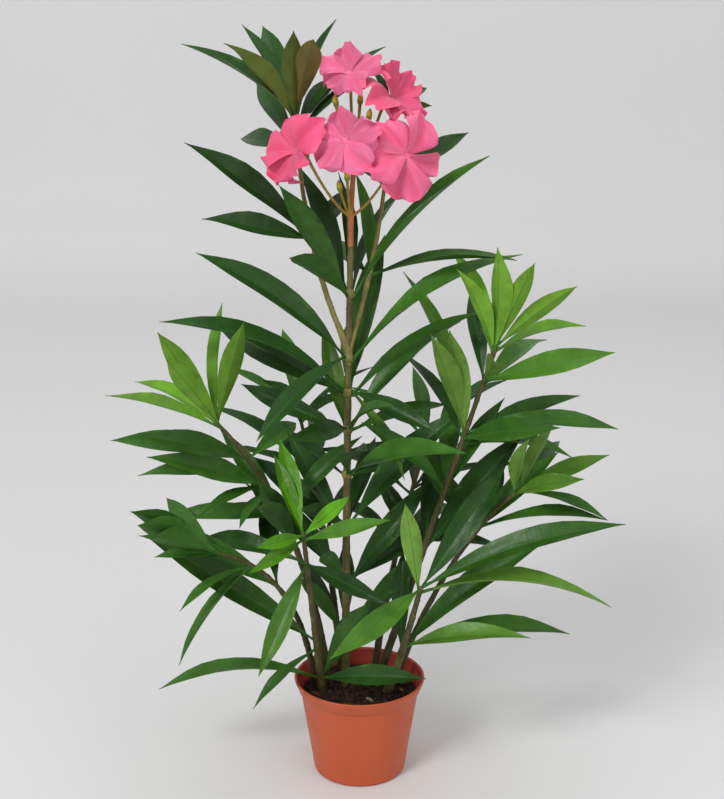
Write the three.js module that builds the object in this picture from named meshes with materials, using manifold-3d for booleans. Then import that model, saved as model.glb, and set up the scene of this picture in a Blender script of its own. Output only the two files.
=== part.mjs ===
// An artificial oleander in its nursery pot: stems that stand in the soil, shoots
// with whorls of long leaves, and one head of flowers and buds on top.
// Millimetres, +Z up, the front looks along -Y, and the origin is the middle of
// the pot's underside. Directions are a turn (0 along +X, 90 along +Y) and a rise
// above the horizontal, both in degrees.
import * as THREE from "three";
import { mergeVertices } from "three/addons/utils/BufferGeometryUtils.js";
import Module from "manifold-3d";

const wasm = await Module();
wasm.setup();

// ---- driving dimensions -------------------------------------------------------

const GAP = 0.3; // kept between pieces that touch

const POT = {
  height: 100,
  rimRadius: 65,
  bandRadius: 60.5, // the flared band's lower edge
  bandHeight: 13,
  bodyRadius: 58.6, // just under the band
  footRadius: 46,
  footRounding: 4,
  wall: 1.8,
  floor: 2.4,
  sides: 32,
};

const SOIL_TOP = 84;
const FOOT = SOIL_TOP - 6; // limbs are drawn from here and cut flat just over the soil

const FLARE = { share: 0.35, height: 16 }; // a limb's foot is this much thicker

const LEAF = {
  widthShare: 0.185, // of the length
  widthMin: 14,
  widthMax: 29,
  thickShare: 0.012, // of the length, at the midrib
  petioleShare: 0.07, // of the length
  petioleRadius: 1.3,
  fold: 15, // each half blade's rise from the midrib, degrees
  arch: 0.08, // of the length, for an upright leaf
  droop: 0.24, // and this much more for a level one
  steps: 4,
};

const NODE_STEP = 6; // a limb's leaves stand in threes, this far apart

const COLLAR = { wall: 1.7, height: 7, sides: 8 };

const PETAL = {
  widthShare: 0.92, // of the length
  curlShare: 0.4,
  thick: 1,
  twist: 14,
  steps: 3,
  uneven: { length: 0.24, lean: 22, spin: 16 }, // a flower's petals differ by this much
};

// Each limb runs from foot to tip on one bend. Its radii are at foot and tip.
const LIMBS = {
  trunk: { foot: [-14, 10, FOOT], bend: [-13, 3, 300], tip: [-8, 3, 534], radius: [4.2, 2.8] },
  left: { foot: [-30, 12, FOOT], bend: [-50, 4, 270], tip: [-135, -10, 367], radius: [4, 1.9] },
  front_left: { foot: [-36, -4, FOOT], bend: [-46, -20, 180], tip: [-52, -60, 274], radius: [4.2, 2] },
  low_left: { foot: [-44, 10, FOOT], bend: [-56, -20, 225], tip: [-134, -60, 255], radius: [3.4, 1.8] },
  right: { foot: [16, 18, FOOT], bend: [72, 6, 262], tip: [128, -10, 443], radius: [4.2, 1.9] },
  mid_right: { foot: [32, 10, FOOT], bend: [85, 6, 240], tip: [154, -10, 300], radius: [3.4, 1.8] },
  front_right: { foot: [26, -4, FOOT], bend: [45, -18, 140], tip: [58, -50, 216], radius: [4.4, 2.4] },
  back_left: { foot: [-18, 34, FOOT], bend: [-30, 60, 230], tip: [-62, 118, 335], radius: [3.8, 1.8] },
  back_right: { foot: [14, 36, FOOT], bend: [34, 58, 220], tip: [72, 108, 318], radius: [3.8, 1.8] },
  top_left: { foot: [-15, 3, 446], bend: [-52, 8, 530], tip: [-58, 10, 653], radius: [2.7, 1.7] },
  top_right: { foot: [-9, 3, 436], bend: [22, 22, 530], tip: [30, 40, 654], radius: [2.5, 1.6] },
};

const DARK = 0x2c5a2a;
const GREEN = 0x3a7a30;
const LIGHT = 0x62a03a;

// Where each leafy shoot starts, as a share of its limb, and its whorls. A whorl's
// leaves are [turn, rise, length, roll]; roll turns the blade about its own length.
// A whorl with a count spreads its leaves over a sweep from its turn by the seeded rule.
const SHOOTS = {
  top_left: {
    from: 0.41,
    colour: DARK,
    whorls: [
      { at: 0.46, leaves: [[196, 39, 148, -50], [214, 15, 117, -60], [67, 21, 96, 25]] },
      { at: 0.85, leaves: [[117, 30, 106, -25], [123, 0, 108, -50], [55, 12, 76, 40]] },
      {
        at: 1,
        leaves: [
          [203, 32, 122, -30], [281, 34, 128, -15], [113, 42, 112, -20], [237, 36, 125, 15],
          [57, 53, 110, -20], [272, 48, 112, 10], [138, 53, 112, 5], [70, 21, 103, 20],
          [29, 37, 116, -5], [16, 34, 112, 5],
        ],
      },
    ],
  },
  top_right: {
    from: 0.27,
    colour: DARK,
    whorls: [
      { at: 0.32, leaves: [[349, 8, 138, 5], [115, 10, 94, -30], [106, 63, 101, 25]] },
      { at: 0.69, leaves: [[27, 27, 100, 40], [329, 3, 58, 25], [115, 14, 92, -30]] },
      { at: 1, leaves: [[103, 55, 50, 45], [150, 60, 45, 0], [56, 15, 63, 20], [320, 16, 48, 40]] },
    ],
  },
  left: {
    from: 0.47,
    colour: LIGHT,
    whorls: [
      { at: 0.52, leaves: [[132, 42, 102, -35], [245, 52, 114, 30], [255, 40, 126, 20]] },
      { at: 0.63, leaves: [[150, 48, 105, -40], [20, 42, 110, 30], [185, 2, 110, -40]] },
      { at: 0.75, leaves: [[209, 22, 128, -60], [225, -7, 82, -10], [193, 9, 122, -20], [243, -21, 57, 5]] },
      { at: 0.85, leaves: [[198, 14, 133, -45], [219, 22, 130, -60], [66, 4, 103, 35]] },
      {
        at: 1,
        leaves: [
          [220, 58, 116, 55], [83, 72, 114, -45], [307, 65, 119, -25],
          [243, 45, 121, 40], [143, 13, 116, -10], [170, 13, 116, -15],
        ],
      },
    ],
  },
  low_left: {
    from: 0.56,
    colour: GREEN,
    whorls: [
      { at: 0.64, leaves: [[175, 33, 115, -70], [102, 32, 106, -5]] },
      { at: 0.82, leaves: [[216, -45, 114, 15], [222, -15, 86, 5]] },
      { at: 0.88, leaves: [[195, 20, 100, -50]] },
      {
        at: 1,
        leaves: [
          [226, 35, 118, 60], [245, 26, 122, 60], [126, 16, 98, -40],
          [236, 30, 130, 60], [209, 9, 68, -35],
        ],
      },
    ],
  },
  front_left: {
    from: 0.08,
    colour: GREEN,
    whorls: [
      { at: 0.12, leaves: [[181, -4, 161, 0], [336, 11, 114, 50], [313, 56, 128, -50]] },
      { at: 0.3, leaves: [[216, -30, 86, 0]] },
      { at: 0.34, leaves: [[189, 37, 202, -62]] },
      { at: 0.82, leaves: [[234, -50, 114, -30], [319, -7, 100, 55], [152, 2, 118, -35]] },
      {
        at: 1,
        leaves: [
          [112, 49, 100, -15], [26, 33, 56, 50], [217, 0, 52, -60],
          [127, 56, 86, -15], [351, 17, 84, 60], [221, -14, 66, -50],
        ],
      },
    ],
  },
  right: {
    from: 0.36,
    colour: LIGHT,
    whorls: [
      { at: 0.42, leaves: [[13, 49, 155, 55], [132, 42, 96, -35], [77, 46, 121, 5]] },
      { at: 0.6, leaves: [[20, 55, 105, 40], [200, 42, 115, -50], [80, 48, 115, 0]] },
      {
        at: 0.76,
        leaves: [
          [233, 61, 125, 20], [349, 5, 143, 20], [144, 64, 164, 5], [240, 74, 118, -5],
          [312, 18, 125, 60], [135, 40, 115, 10], [24, -14, 129, 10], [20, 16, 130, 20], [39, 9, 101, 55],
        ],
      },
      { at: 0.9, leaves: [[346, 17, 126, 60], [270, 24, 118, -30], [98, 47, 100, 0], [55, 9, 130, 15]] },
      {
        at: 1,
        leaves: [
          [123, 48, 106, -5], [298, 57, 105, -30], [329, 40, 101, -60], [232, 54, 109, 5],
          [265, 65, 119, -30], [33, 5, 111, 10], [90, 20, 105, 0],
        ],
      },
    ],
  },
  mid_right: {
    from: 0.7,
    colour: GREEN,
    whorls: [
      {
        at: 0.79,
        leaves: [
          [344, 9, 122, 10], [67, 31, 80, 20], [117, 20, 92, -35],
          [15, 42, 110, 40], [134, 42, 105, -55],
        ],
      },
      {
        at: 1,
        leaves: [
          [336, 29, 98, 60], [307, 61, 91, -15], [343, -14, 87, 10],
          [309, 24, 96, 55], [275, 50, 100, 20], [59, 13, 107, 20],
        ],
      },
    ],
  },
  front_right: {
    from: 0.38,
    colour: GREEN,
    whorls: [
      { at: 0.46, leaves: [[9, 36, 175, 30], [341, 13, 129, 30], [4, 3, 164, 15], [88, 62, 100, -15]] },
      {
        at: 1,
        leaves: [
          [224, -16, 122, -55], [357, 20, 201, 35], [31, 48, 144, 50],
          [354, -2, 180, 0], [237, 75, 102, 30],
        ],
      },
    ],
  },
  back_left: {
    from: 0.5,
    colour: DARK,
    whorls: [
      { at: 0.55, count: 3, turn: 66, sweep: 150, rise: 19, length: 118 },
      { at: 0.78, count: 4, turn: 20, sweep: 195, rise: 22, length: 118 },
      { at: 1, count: 5, turn: 20, sweep: 290, rise: 32, length: 105 },
    ],
  },
  back_right: {
    from: 0.5,
    colour: DARK,
    whorls: [
      { at: 0.55, count: 3, turn: -14, sweep: 140, rise: 6, length: 118 },
      { at: 0.78, count: 4, turn: -16, sweep: 166, rise: 22, length: 110 },
      { at: 1, count: 5, turn: -110, sweep: 270, rise: 32, length: 105 },
    ],
  },
};

// Whorls that slide onto the trunk on a collar, by their height.
const TRUNK_WHORLS = [
  {
    height: 142,
    leaves: [
      [223, 53, 92, 45], [327, 47, 90, -40], [43, 27, 113, 45],
      [121, 27, 103, -30], [91, 45, 95, 0],
    ],
  },
  {
    height: 200,
    leaves: [
      [159, 39, 134, -30], [27, 22, 125, 45], [254, 36, 91, 35],
      [20, 49, 124, 55], [151, 47, 96, -50],
    ],
  },
  {
    height: 258,
    leaves: [
      [149, 25, 116, -55], [247, 29, 110, 45], [7, 45, 158, 40],
      [154, 56, 108, -55], [69, 40, 99, 15],
    ],
  },
  { height: 310, leaves: [[317, 20, 152, 40], [133, 9, 111, -25], [280, 28, 126, 30], [32, 6, 78, 60]] },
  {
    height: 356,
    leaves: [
      [23, 39, 147, 10], [156, 17, 115, -60], [297, 27, 102, 40],
      [25, 7, 104, 25], [242, 10, 116, -60], [118, 62, 104, -20],
    ],
  },
  {
    height: 392,
    leaves: [
      [188, 23, 185, -20], [352, 35, 147, 20], [58, 66, 152, 10],
      [157, 22, 148, -60], [324, -14, 102, 45], [90, 31, 98, 5], [327, -53, 98, 10],
    ],
  },
  { height: 426, leaves: [[190, 37, 170, -45], [3, 32, 186, 10], [220, -31, 122, -20]] },
  {
    height: 487,
    leaves: [
      [214, 56, 126, 50], [346, 47, 182, 10], [145, 64, 126, -20],
      [245, 26, 128, 25], [59, 40, 131, -40], [103, 68, 117, 35],
    ],
  },
];

// The flower head: the stalk, its two forks, and what each side stalk carries.
const HEAD = {
  foot: [-8, 3, 535],
  forks: [[-8, 2, 560], [-5, 0, 606]],
  stalkRadius: 2.9,
  sideRadius: 1.3,
  tubeLength: 15,
  tubeRadius: 4.2,
  // turn and rise of the way a flower faces; open is how far its petals lean from it
  flowers: [
    { fork: 0, throat: [-56, -35, 624], turn: 222, rise: 20, petal: 38, open: 72, spin: 20 },
    { fork: 0, throat: [41, -42, 622], turn: 288, rise: -5, petal: 38, open: 84, spin: 32 },
    { fork: 1, throat: [-12, -46, 635], turn: 262, rise: 16, petal: 32, open: 84, spin: 0 },
    { fork: 1, throat: [-9, -20, 690], turn: 262, rise: 42, petal: 29, open: 72, spin: 0 },
    { fork: 1, throat: [29, -14, 667], turn: 318, rise: 32, petal: 37, open: 72, spin: 10 },
  ],
  // [fork, middle of the bud]
  buds: [
    [0, [-18, -8, 590]], [0, [-11, -12, 600]], [1, [-21, -12, 666]],
    [1, [1, -12, 668]], [1, [9, -20, 655]],
  ],
  budLength: 13,
  budRadius: 3.2,
};

const COLOURS = { pot: 0xc25a36, soil: 0x3a2a20, bark: 0x6f6a3c, flower: 0xee5f8c };

// ---- small helpers ----------------------------------------------------------------

const vector = (p) => new THREE.Vector3(...p);
const radians = THREE.MathUtils.degToRad;
const { clamp, lerp } = THREE.MathUtils;

// The way that a turn and a rise point.
function heading(turn, rise) {
  const [t, r] = [radians(turn), radians(rise)];
  return new THREE.Vector3(Math.cos(r) * Math.cos(t), Math.cos(r) * Math.sin(t), Math.sin(r));
}

// Draws from 0 to 1, the same on every run and for each seed its own.
function seeded(seed) {
  let state = (seed * 2654435761) % 4294967296;
  return () => {
    state = (state * 1664525 + 1013904223) % 4294967296;
    return state / 4294967296;
  };
}

function solidOf(geometry) {
  geometry.deleteAttribute("normal");
  geometry.deleteAttribute("uv");
  const merged = mergeVertices(geometry, 1e-4);
  return new wasm.Manifold(
    new wasm.Mesh({
      numProp: 3,
      vertProperties: merged.attributes.position.array,
      triVerts: new Uint32Array(merged.index.array),
    }),
  );
}

const union = (solids) => solids.reduce((all, solid) => all.add(solid));

// The outer shell of a solid's largest body: sealed hollows filled and scraps dropped.
const largestBody = (solid) =>
  solid.decompose().reduce((best, body) => (body.volume() > best.volume() ? body : best));

function meshOf(name, solid, colour, roughness) {
  const { numProp, numVert, vertProperties, triVerts } = solid.getMesh();
  const position = new Float32Array(numVert * 3);
  for (let i = 0; i < numVert; i++) {
    position.set(vertProperties.subarray(i * numProp, i * numProp + 3), i * 3);
  }
  const geometry = new THREE.BufferGeometry();
  geometry.setAttribute("position", new THREE.BufferAttribute(position, 3));
  geometry.setIndex(new THREE.BufferAttribute(new Uint32Array(triVerts), 1));
  geometry.computeVertexNormals();
  const mesh = new THREE.Mesh(
    geometry,
    new THREE.MeshStandardMaterial({ color: colour, roughness, metalness: 0 }),
  );
  mesh.name = name;
  return mesh;
}

// A closed rod, or a pointed one, of the given sides and steps, reshaped: place(across,
// share, up) gives the point for a place on its unit section at a share of its length.
function reshapedRod(sides, steps, pointed, place) {
  const rod = new THREE.CylinderGeometry(pointed ? 0 : 1, 1, 1, sides, steps);
  const position = rod.attributes.position;
  for (let i = 0; i < position.count; i++) {
    const [x, z] = [position.getX(i), position.getZ(i)];
    const radius = Math.hypot(x, z) || 1;
    const point = place(x / radius, position.getY(i) + 0.5, z / radius);
    position.setXYZ(i, point.x, point.y, point.z);
  }
  return solidOf(rod);
}

const curveOf = ({ foot, bend, tip }) =>
  new THREE.QuadraticBezierCurve3(vector(foot), vector(bend), vector(tip));

// A tapering limb along a stretch of a curve, thicker by margin all round.
function limbSolid(curve, [footRadius, tipRadius], from, to, margin = 0, sides = 7) {
  const length = curve.getLength();
  const steps = Math.max(2, Math.round((to - from) * 9));
  return reshapedRod(sides, steps, false, (x, share, z) => {
    const t = lerp(from, to, share ** 1.4);
    const along = curve.getTangentAt(t);
    const side = new THREE.Vector3(0, 1, 0).cross(along).normalize();
    const flare = 1 + FLARE.share * Math.max(0, 1 - (t * length) / FLARE.height) ** 2;
    const radius = lerp(footRadius, tipRadius, t) * flare + margin;
    return curve
      .getPointAt(t)
      .addScaledVector(along.clone().cross(side), x * radius)
      .addScaledVector(side, z * radius);
  });
}

// A round body along a line, with its radius given at each share of its length.
function spindleSolid(from, along, length, radiusAt, sides, steps) {
  const helper = Math.abs(along.y) < 0.9 ? new THREE.Vector3(0, 1, 0) : new THREE.Vector3(1, 0, 0);
  const side = helper.cross(along).normalize();
  const up = along.clone().cross(side);
  return reshapedRod(sides, steps, false, (x, share, z) =>
    from
      .clone()
      .addScaledVector(along, length * share)
      .addScaledVector(up, x * radiusAt(share))
      .addScaledVector(side, z * radiusAt(share)),
  );
}

// ---- pot and soil -------------------------------------------------------------------

const bandFoot = POT.height - POT.bandHeight;

// The pot's outside from the middle of the foot up, then its inside back down.
function potProfile() {
  const { height, wall, floor, footRadius, footRounding, bodyRadius, bandRadius, rimRadius } = POT;
  return [
    [0, 0],
    [footRadius - footRounding, 0],
    [footRadius - 1, footRounding * 0.4],
    [footRadius, footRounding],
    [bodyRadius, bandFoot - 1],
    [bandRadius, bandFoot],
    [rimRadius - 1, height - 2.5],
    [rimRadius, height - 1],
    [rimRadius - 0.4, height],
    [rimRadius - 2, height],
    [bandRadius - wall, bandFoot + 1],
    [bodyRadius - wall, bandFoot - 2],
    [footRadius - wall, footRounding + floor],
    [footRadius - wall - 2, floor],
    [0, floor],
  ];
}

function latheSolid(profile) {
  const points = profile.map(([radius, height]) => new THREE.Vector2(radius, height));
  const lathe = new THREE.LatheGeometry(points, POT.sides);
  lathe.rotateX(Math.PI / 2);
  return solidOf(lathe);
}

// The soil fills the pot up to its top face, clear of the wall and the floor.
function soilProfile() {
  const slope = (POT.bodyRadius - POT.footRadius) / (bandFoot - 1 - POT.footRounding);
  const radiusAt = (z) => POT.footRadius + slope * (z - POT.footRounding) - POT.wall - 2 * GAP;
  const low = POT.floor + POT.footRounding;
  return [
    [0, POT.floor + GAP],
    [radiusAt(low) - 3, POT.floor + GAP],
    [radiusAt(low), low + GAP],
    [radiusAt(SOIL_TOP), SOIL_TOP],
    [0, SOIL_TOP],
  ];
}

// ---- leaves ---------------------------------------------------------------------------

// One leaf from its root: a flat rod with an edge on each side, folded up along the
// midrib, arched over its length and drawn out to a point.
function leafSolid(root, [turn, rise, length, roll], [broad, bent]) {
  const width = clamp(length * LEAF.widthShare, LEAF.widthMin, LEAF.widthMax) * (0.94 + 0.12 * broad);
  const bow = LEAF.arch + LEAF.droop * Math.cos(radians(rise)) * (length / 150);
  const arch = length * bow * (0.75 + 0.5 * bent);
  const along = heading(turn, rise);
  const up = heading(turn, rise + 90).applyAxisAngle(along, radians(roll));
  const side = along.clone().cross(up);
  const thick = Math.max(length * LEAF.thickShare, 1) / 2;
  const fold = Math.tan(radians(LEAF.fold));
  return reshapedRod(4, LEAF.steps, true, (x, share, z) => {
    const blade = Math.max(0, (share - LEAF.petioleShare) / (1 - LEAF.petioleShare));
    const half = Math.max((width / 2) * Math.sin(Math.PI * blade ** 1.15) ** 0.8, LEAF.petioleRadius);
    const core = Math.max(thick, LEAF.petioleRadius * (1 - 3 * share));
    return root
      .clone()
      .addScaledVector(along, length * share)
      .addScaledVector(up, Math.abs(x) * half * fold + z * core + arch * share * (1 - share))
      .addScaledVector(side, x * half);
  });
}

// A whorl's own leaves, or its count of them spread over its sweep with a seeded stagger.
function leavesOf(whorl, draw) {
  if (whorl.leaves) return whorl.leaves;
  return Array.from({ length: whorl.count }, (_, i) => [
    whorl.turn + (whorl.sweep / (whorl.count - 1)) * i + 24 * (draw() - 0.5),
    whorl.rise + 20 * (draw() - 0.5),
    whorl.length * (0.85 + 0.3 * draw()),
    40 * (draw() - 0.5),
  ]);
}

function boxesMeet(a, b) {
  const [p, q] = [a.boundingBox(), b.boundingBox()];
  return [0, 1, 2].every((i) => p.min[i] - GAP < q.max[i] && q.min[i] - GAP < p.max[i]);
}

const touches = (solid, other) => boxesMeet(solid, other) && solid.minGap(other, 2 * GAP) < GAP;

// Fuses a mass of leaves to its stem. A leaf that would touch an obstacle is left out.
function massOf(stem, leaves, obstacles) {
  const solids = leaves.map(({ root, plan, luck }) => leafSolid(root, plan, luck));
  const kept = solids.filter((leaf) => !obstacles.some((obstacle) => touches(leaf, obstacle)));
  return largestBody(union([stem, ...kept]));
}

// ---- flower head ------------------------------------------------------------------------

// A side stalk between two points, which leaves low and turns up.
function stalkSolid(from, to, radius, sides = 5) {
  const bend = from.clone().lerp(to, 0.45);
  bend.z -= to.distanceTo(from) * 0.18;
  const curve = new THREE.QuadraticBezierCurve3(from, bend, to);
  return reshapedRod(sides, 3, false, (x, share, z) => {
    const along = curve.getTangent(share);
    const side = new THREE.Vector3(0, 1, 0).cross(along).normalize();
    return curve
      .getPoint(share)
      .addScaledVector(along.clone().cross(side), x * radius)
      .addScaledVector(side, z * radius);
  });
}

// A petal leaves the throat along the way the flower faces, then opens outwards to a
// broad blunt end.
function petalSolid(throat, facing, outward, length, open) {
  const lean = radians(open);
  const along = outward.clone().multiplyScalar(Math.sin(lean)).addScaledVector(facing, Math.cos(lean));
  const inward = facing.clone().multiplyScalar(Math.sin(lean)).addScaledVector(outward, -Math.cos(lean));
  inward.applyAxisAngle(along, radians(PETAL.twist));
  const side = along.clone().cross(inward);
  return reshapedRod(4, PETAL.steps, false, (x, share, z) => {
    const half = length * (PETAL.widthShare / 2) * Math.sin(Math.PI * (0.04 + 0.76 * share));
    const cup = PETAL.curlShare * length * share * (1 - share) + Math.abs(x) * half * 0.2;
    return throat
      .clone()
      .addScaledVector(along, length * share)
      .addScaledVector(inward, cup + (z * PETAL.thick) / 2)
      .addScaledVector(side, x * half);
  });
}

function flowerSolids({ fork, throat, turn, rise, petal, open, spin }, index) {
  const draw = seeded(40 + index);
  const facing = heading(turn, rise);
  const middle = vector(throat);
  const calyx = middle.clone().addScaledVector(facing, -HEAD.tubeLength);
  const tubeRadius = (share) => lerp(1.8, HEAD.tubeRadius, share ** 2);
  const petals = Array.from({ length: 5 }, (_, i) => {
    const [longer, leaning, turned] = [draw() - 0.5, draw() - 0.5, draw() - 0.5];
    const angle = spin + 72 * i + PETAL.uneven.spin * turned;
    const outward = heading(turn, rise + 90).applyAxisAngle(facing, radians(angle));
    const length = petal * (1 + PETAL.uneven.length * longer);
    return petalSolid(middle, facing, outward, length, open + PETAL.uneven.lean * leaning);
  });
  return [
    spindleSolid(calyx, facing, HEAD.tubeLength + 2, tubeRadius, 6, 2),
    stalkSolid(vector(HEAD.forks[fork]), calyx.clone().addScaledVector(facing, 2), HEAD.sideRadius),
    ...petals,
  ];
}

function budSolids([fork, middle]) {
  const from = vector(HEAD.forks[fork]);
  const along = vector(middle).sub(from).normalize().lerp(new THREE.Vector3(0, 0, 1), 0.5).normalize();
  const foot = vector(middle).addScaledVector(along, -HEAD.budLength / 2);
  const swell = (share) => HEAD.budRadius * Math.sin(Math.PI * (0.12 + 0.82 * share));
  return [
    stalkSolid(from, foot.clone().addScaledVector(along, 2), HEAD.sideRadius),
    spindleSolid(foot, along, HEAD.budLength, swell, 6, 3),
  ];
}

function headSolid() {
  const [low, high] = HEAD.forks.map(vector);
  const foot = vector(HEAD.foot);
  const rise = low.clone().sub(foot).normalize();
  const parts = [
    spindleSolid(foot, rise, low.distanceTo(foot) + 2, () => HEAD.stalkRadius, 8, 1),
    stalkSolid(low, high, HEAD.stalkRadius * 0.9, 7),
    ...HEAD.flowers.flatMap(flowerSolids),
    ...HEAD.buds.flatMap(budSolids),
  ];
  return largestBody(union(parts));
}

// ---- the whole plant ----------------------------------------------------------------------

const curves = Object.fromEntries(Object.entries(LIMBS).map(([name, limb]) => [name, curveOf(limb)]));
const trunkClearance = limbSolid(curves.trunk, LIMBS.trunk.radius, 0, 1, GAP);

// The space under the stems' flat foot cuts.
function belowFeet() {
  const side = 4 * POT.rimRadius;
  const box = new THREE.BoxGeometry(side, side, side);
  box.translate(0, 0, SOIL_TOP + GAP - side / 2);
  return solidOf(box);
}

// The bare limbs: the trunk whole, and each other limb up to where its leaves start.
function bareLimbs() {
  const below = belowFeet();
  return Object.entries(LIMBS).map(([name, { radius }]) => {
    if (name === "trunk") {
      return { name, solid: limbSolid(curves.trunk, radius, 0, 1).subtract(below) };
    }
    const solid = limbSolid(curves[name], radius, 0, SHOOTS[name].from);
    if (name.startsWith("top_")) {
      return { name: "bough_" + name, solid: solid.subtract(trunkClearance) };
    }
    return { name: "stem_" + name, solid: solid.subtract(below) };
  });
}

// The leafy end of each limb, before its leaves.
function shootStems() {
  return Object.entries(SHOOTS).map(([name, { from, whorls, colour }]) => {
    const start = from + GAP / curves[name].getLength();
    return { name, whorls, colour, solid: limbSolid(curves[name], LIMBS[name].radius, start, 1) };
  });
}

// A shoot's leaves start inside its stem, three at a node.
function shootLeaves({ name, whorls }, seed) {
  const draw = seeded(seed);
  const curve = curves[name];
  const length = curve.getLength();
  return whorls.flatMap((whorl) =>
    leavesOf(whorl, draw).map((plan, i) => {
      const t = whorl.at - (NODE_STEP * Math.floor(i / 3) + 1.5) / length;
      const root = curve.getPointAt(t).addScaledVector(heading(plan[0], 0), 0.7);
      return { root, plan, luck: [draw(), draw()] };
    }),
  );
}

// The share of the trunk's length at which it passes a height.
function trunkShareAt(height) {
  const heights = curves.trunk.getSpacedPoints(200).map((point) => point.z);
  return heights.findIndex((z) => z >= height) / 200;
}

// A whorl on the trunk: a collar round it that carries the leaves.
function trunkWhorl({ height, leaves: plans }, obstacles, seed) {
  const draw = seeded(seed);
  const t = trunkShareAt(height);
  const centre = curves.trunk.getPointAt(t);
  const radius = lerp(...LIMBS.trunk.radius, t) + GAP + COLLAR.wall;
  const foot = centre.clone().setZ(centre.z - COLLAR.height / 2);
  const ring = spindleSolid(foot, new THREE.Vector3(0, 0, 1), COLLAR.height, () => radius, COLLAR.sides, 1);
  const leaves = plans.map((plan, i) => {
    const root = centre.clone().addScaledVector(heading(plan[0], 0), radius - COLLAR.wall / 2);
    root.z += 2 - 4 * (i % 2);
    return { root, plan, luck: [draw(), draw()] };
  });
  return largestBody(massOf(ring, leaves, obstacles).subtract(trunkClearance));
}

// Every mass of leaves, each clear of the limbs, the head and the masses before it.
function leafMasses(limbs, head) {
  const [trunk, ...others] = limbs.map((limb) => limb.solid);
  const standing = [...others, head];
  const stems = shootStems();
  const masses = [];
  const made = () => masses.map((mass) => mass.solid);
  for (const stem of stems) {
    const rest = stems.filter((other) => other !== stem).map((other) => other.solid);
    const leaves = shootLeaves(stem, masses.length + 1);
    const solid = massOf(stem.solid, leaves, [trunk, ...standing, ...rest, ...made()]);
    masses.push({ name: "leaves_" + stem.name, solid, colour: stem.colour });
  }
  TRUNK_WHORLS.forEach((whorl, i) => {
    const solid = trunkWhorl(whorl, [...standing, ...made()], masses.length + 1);
    masses.push({ name: "leaves_trunk_" + (i + 1), solid, colour: DARK });
  });
  return masses;
}

const plant = new THREE.Group();
const limbs = bareLimbs();
const head = headSolid();
plant.add(meshOf("pot", latheSolid(potProfile()), COLOURS.pot, 0.5));
plant.add(meshOf("soil", latheSolid(soilProfile()), COLOURS.soil, 0.95));
for (const { name, solid } of limbs) plant.add(meshOf(name, solid, COLOURS.bark, 0.8));
plant.add(meshOf("flower_head", head, COLOURS.flower, 0.6));
for (const { name, solid, colour } of leafMasses(limbs, head)) plant.add(meshOf(name, solid, colour, 0.55));

export default plant;
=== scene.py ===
"""An artificial oleander in its nursery pot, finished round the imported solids.

Sizes in the tables are millimetres, +Z up, with the front looking along -Y. Directions are
a turn (0 along +X, 90 along +Y) and a rise above the horizontal, both in degrees.
"""

import math

import bmesh
import bpy
import numpy as np
from bpy.props import FloatProperty, FloatVectorProperty, IntProperty, PointerProperty
from bpy.types import Operator, Panel, PropertyGroup
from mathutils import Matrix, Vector, noise


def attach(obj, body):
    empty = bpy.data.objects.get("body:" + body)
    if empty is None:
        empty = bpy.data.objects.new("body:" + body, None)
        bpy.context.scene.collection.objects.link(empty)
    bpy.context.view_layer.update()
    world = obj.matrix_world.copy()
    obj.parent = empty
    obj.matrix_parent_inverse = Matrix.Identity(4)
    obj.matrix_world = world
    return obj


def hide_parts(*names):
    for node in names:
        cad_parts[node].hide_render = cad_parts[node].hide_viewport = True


bl_info = {
    "name": "Potted oleander",
    "version": (1, 0, 0),
    "blender": (4, 5, 0),
    "location": "View3D > Sidebar > Oleander",
    "description": "Builds an artificial oleander with a head of flowers in a nursery pot",
    "category": "Add Mesh",
}

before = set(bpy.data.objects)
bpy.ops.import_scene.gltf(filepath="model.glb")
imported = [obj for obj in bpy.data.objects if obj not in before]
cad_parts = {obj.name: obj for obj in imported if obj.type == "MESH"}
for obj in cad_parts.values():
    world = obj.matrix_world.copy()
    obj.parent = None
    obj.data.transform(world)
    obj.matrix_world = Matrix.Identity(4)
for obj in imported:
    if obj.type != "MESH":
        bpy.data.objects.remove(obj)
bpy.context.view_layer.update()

MM = 0.001

# ---- the plant's plan ---------------------------------------------------------------------

POT = {
    "height": 100,
    "rim_radius": 65,
    "band_radius": 60.5,
    "band_height": 13,
    "body_radius": 58.6,
    "foot_radius": 46,
    "foot_rounding": 4,
    "wall": 1.8,
    "floor": 2.4,
}
SOIL_TOP = 84
FOOT = SOIL_TOP - 6
# Bark starts a little under the soil's top.
BARK_FOOT = SOIL_TOP - 1.5
FLARE = {"share": 0.35, "height": 16}
# A trunk whorl's leaves start in a collar's wall, and the gap keeps the collar off the trunk.
GAP = 0.3
COLLAR_WALL = 1.7
# Leaves stand three to a node, and the nodes of a whorl are a step apart.
NODE_LEAVES = 3
NODE_STEP = 6
# How far a whorl's first node is under its place, how far out of the axis a shoot's leaf starts,
# and how far a twig's point stands past the limb's end.
FIRST_NODE, ROOT_OUT, TWIG_END = 1.5, 0.7, 2.5
# The swelling round the trunk at a whorl: half its height, how far it swells, how far it is sunk.
SWELLING = {"half_height": 4.6, "swell": 2.0, "sunk": 0.3}
# How far below its fork a bough's bark runs down into the trunk.
FORK_DROP = 18

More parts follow.
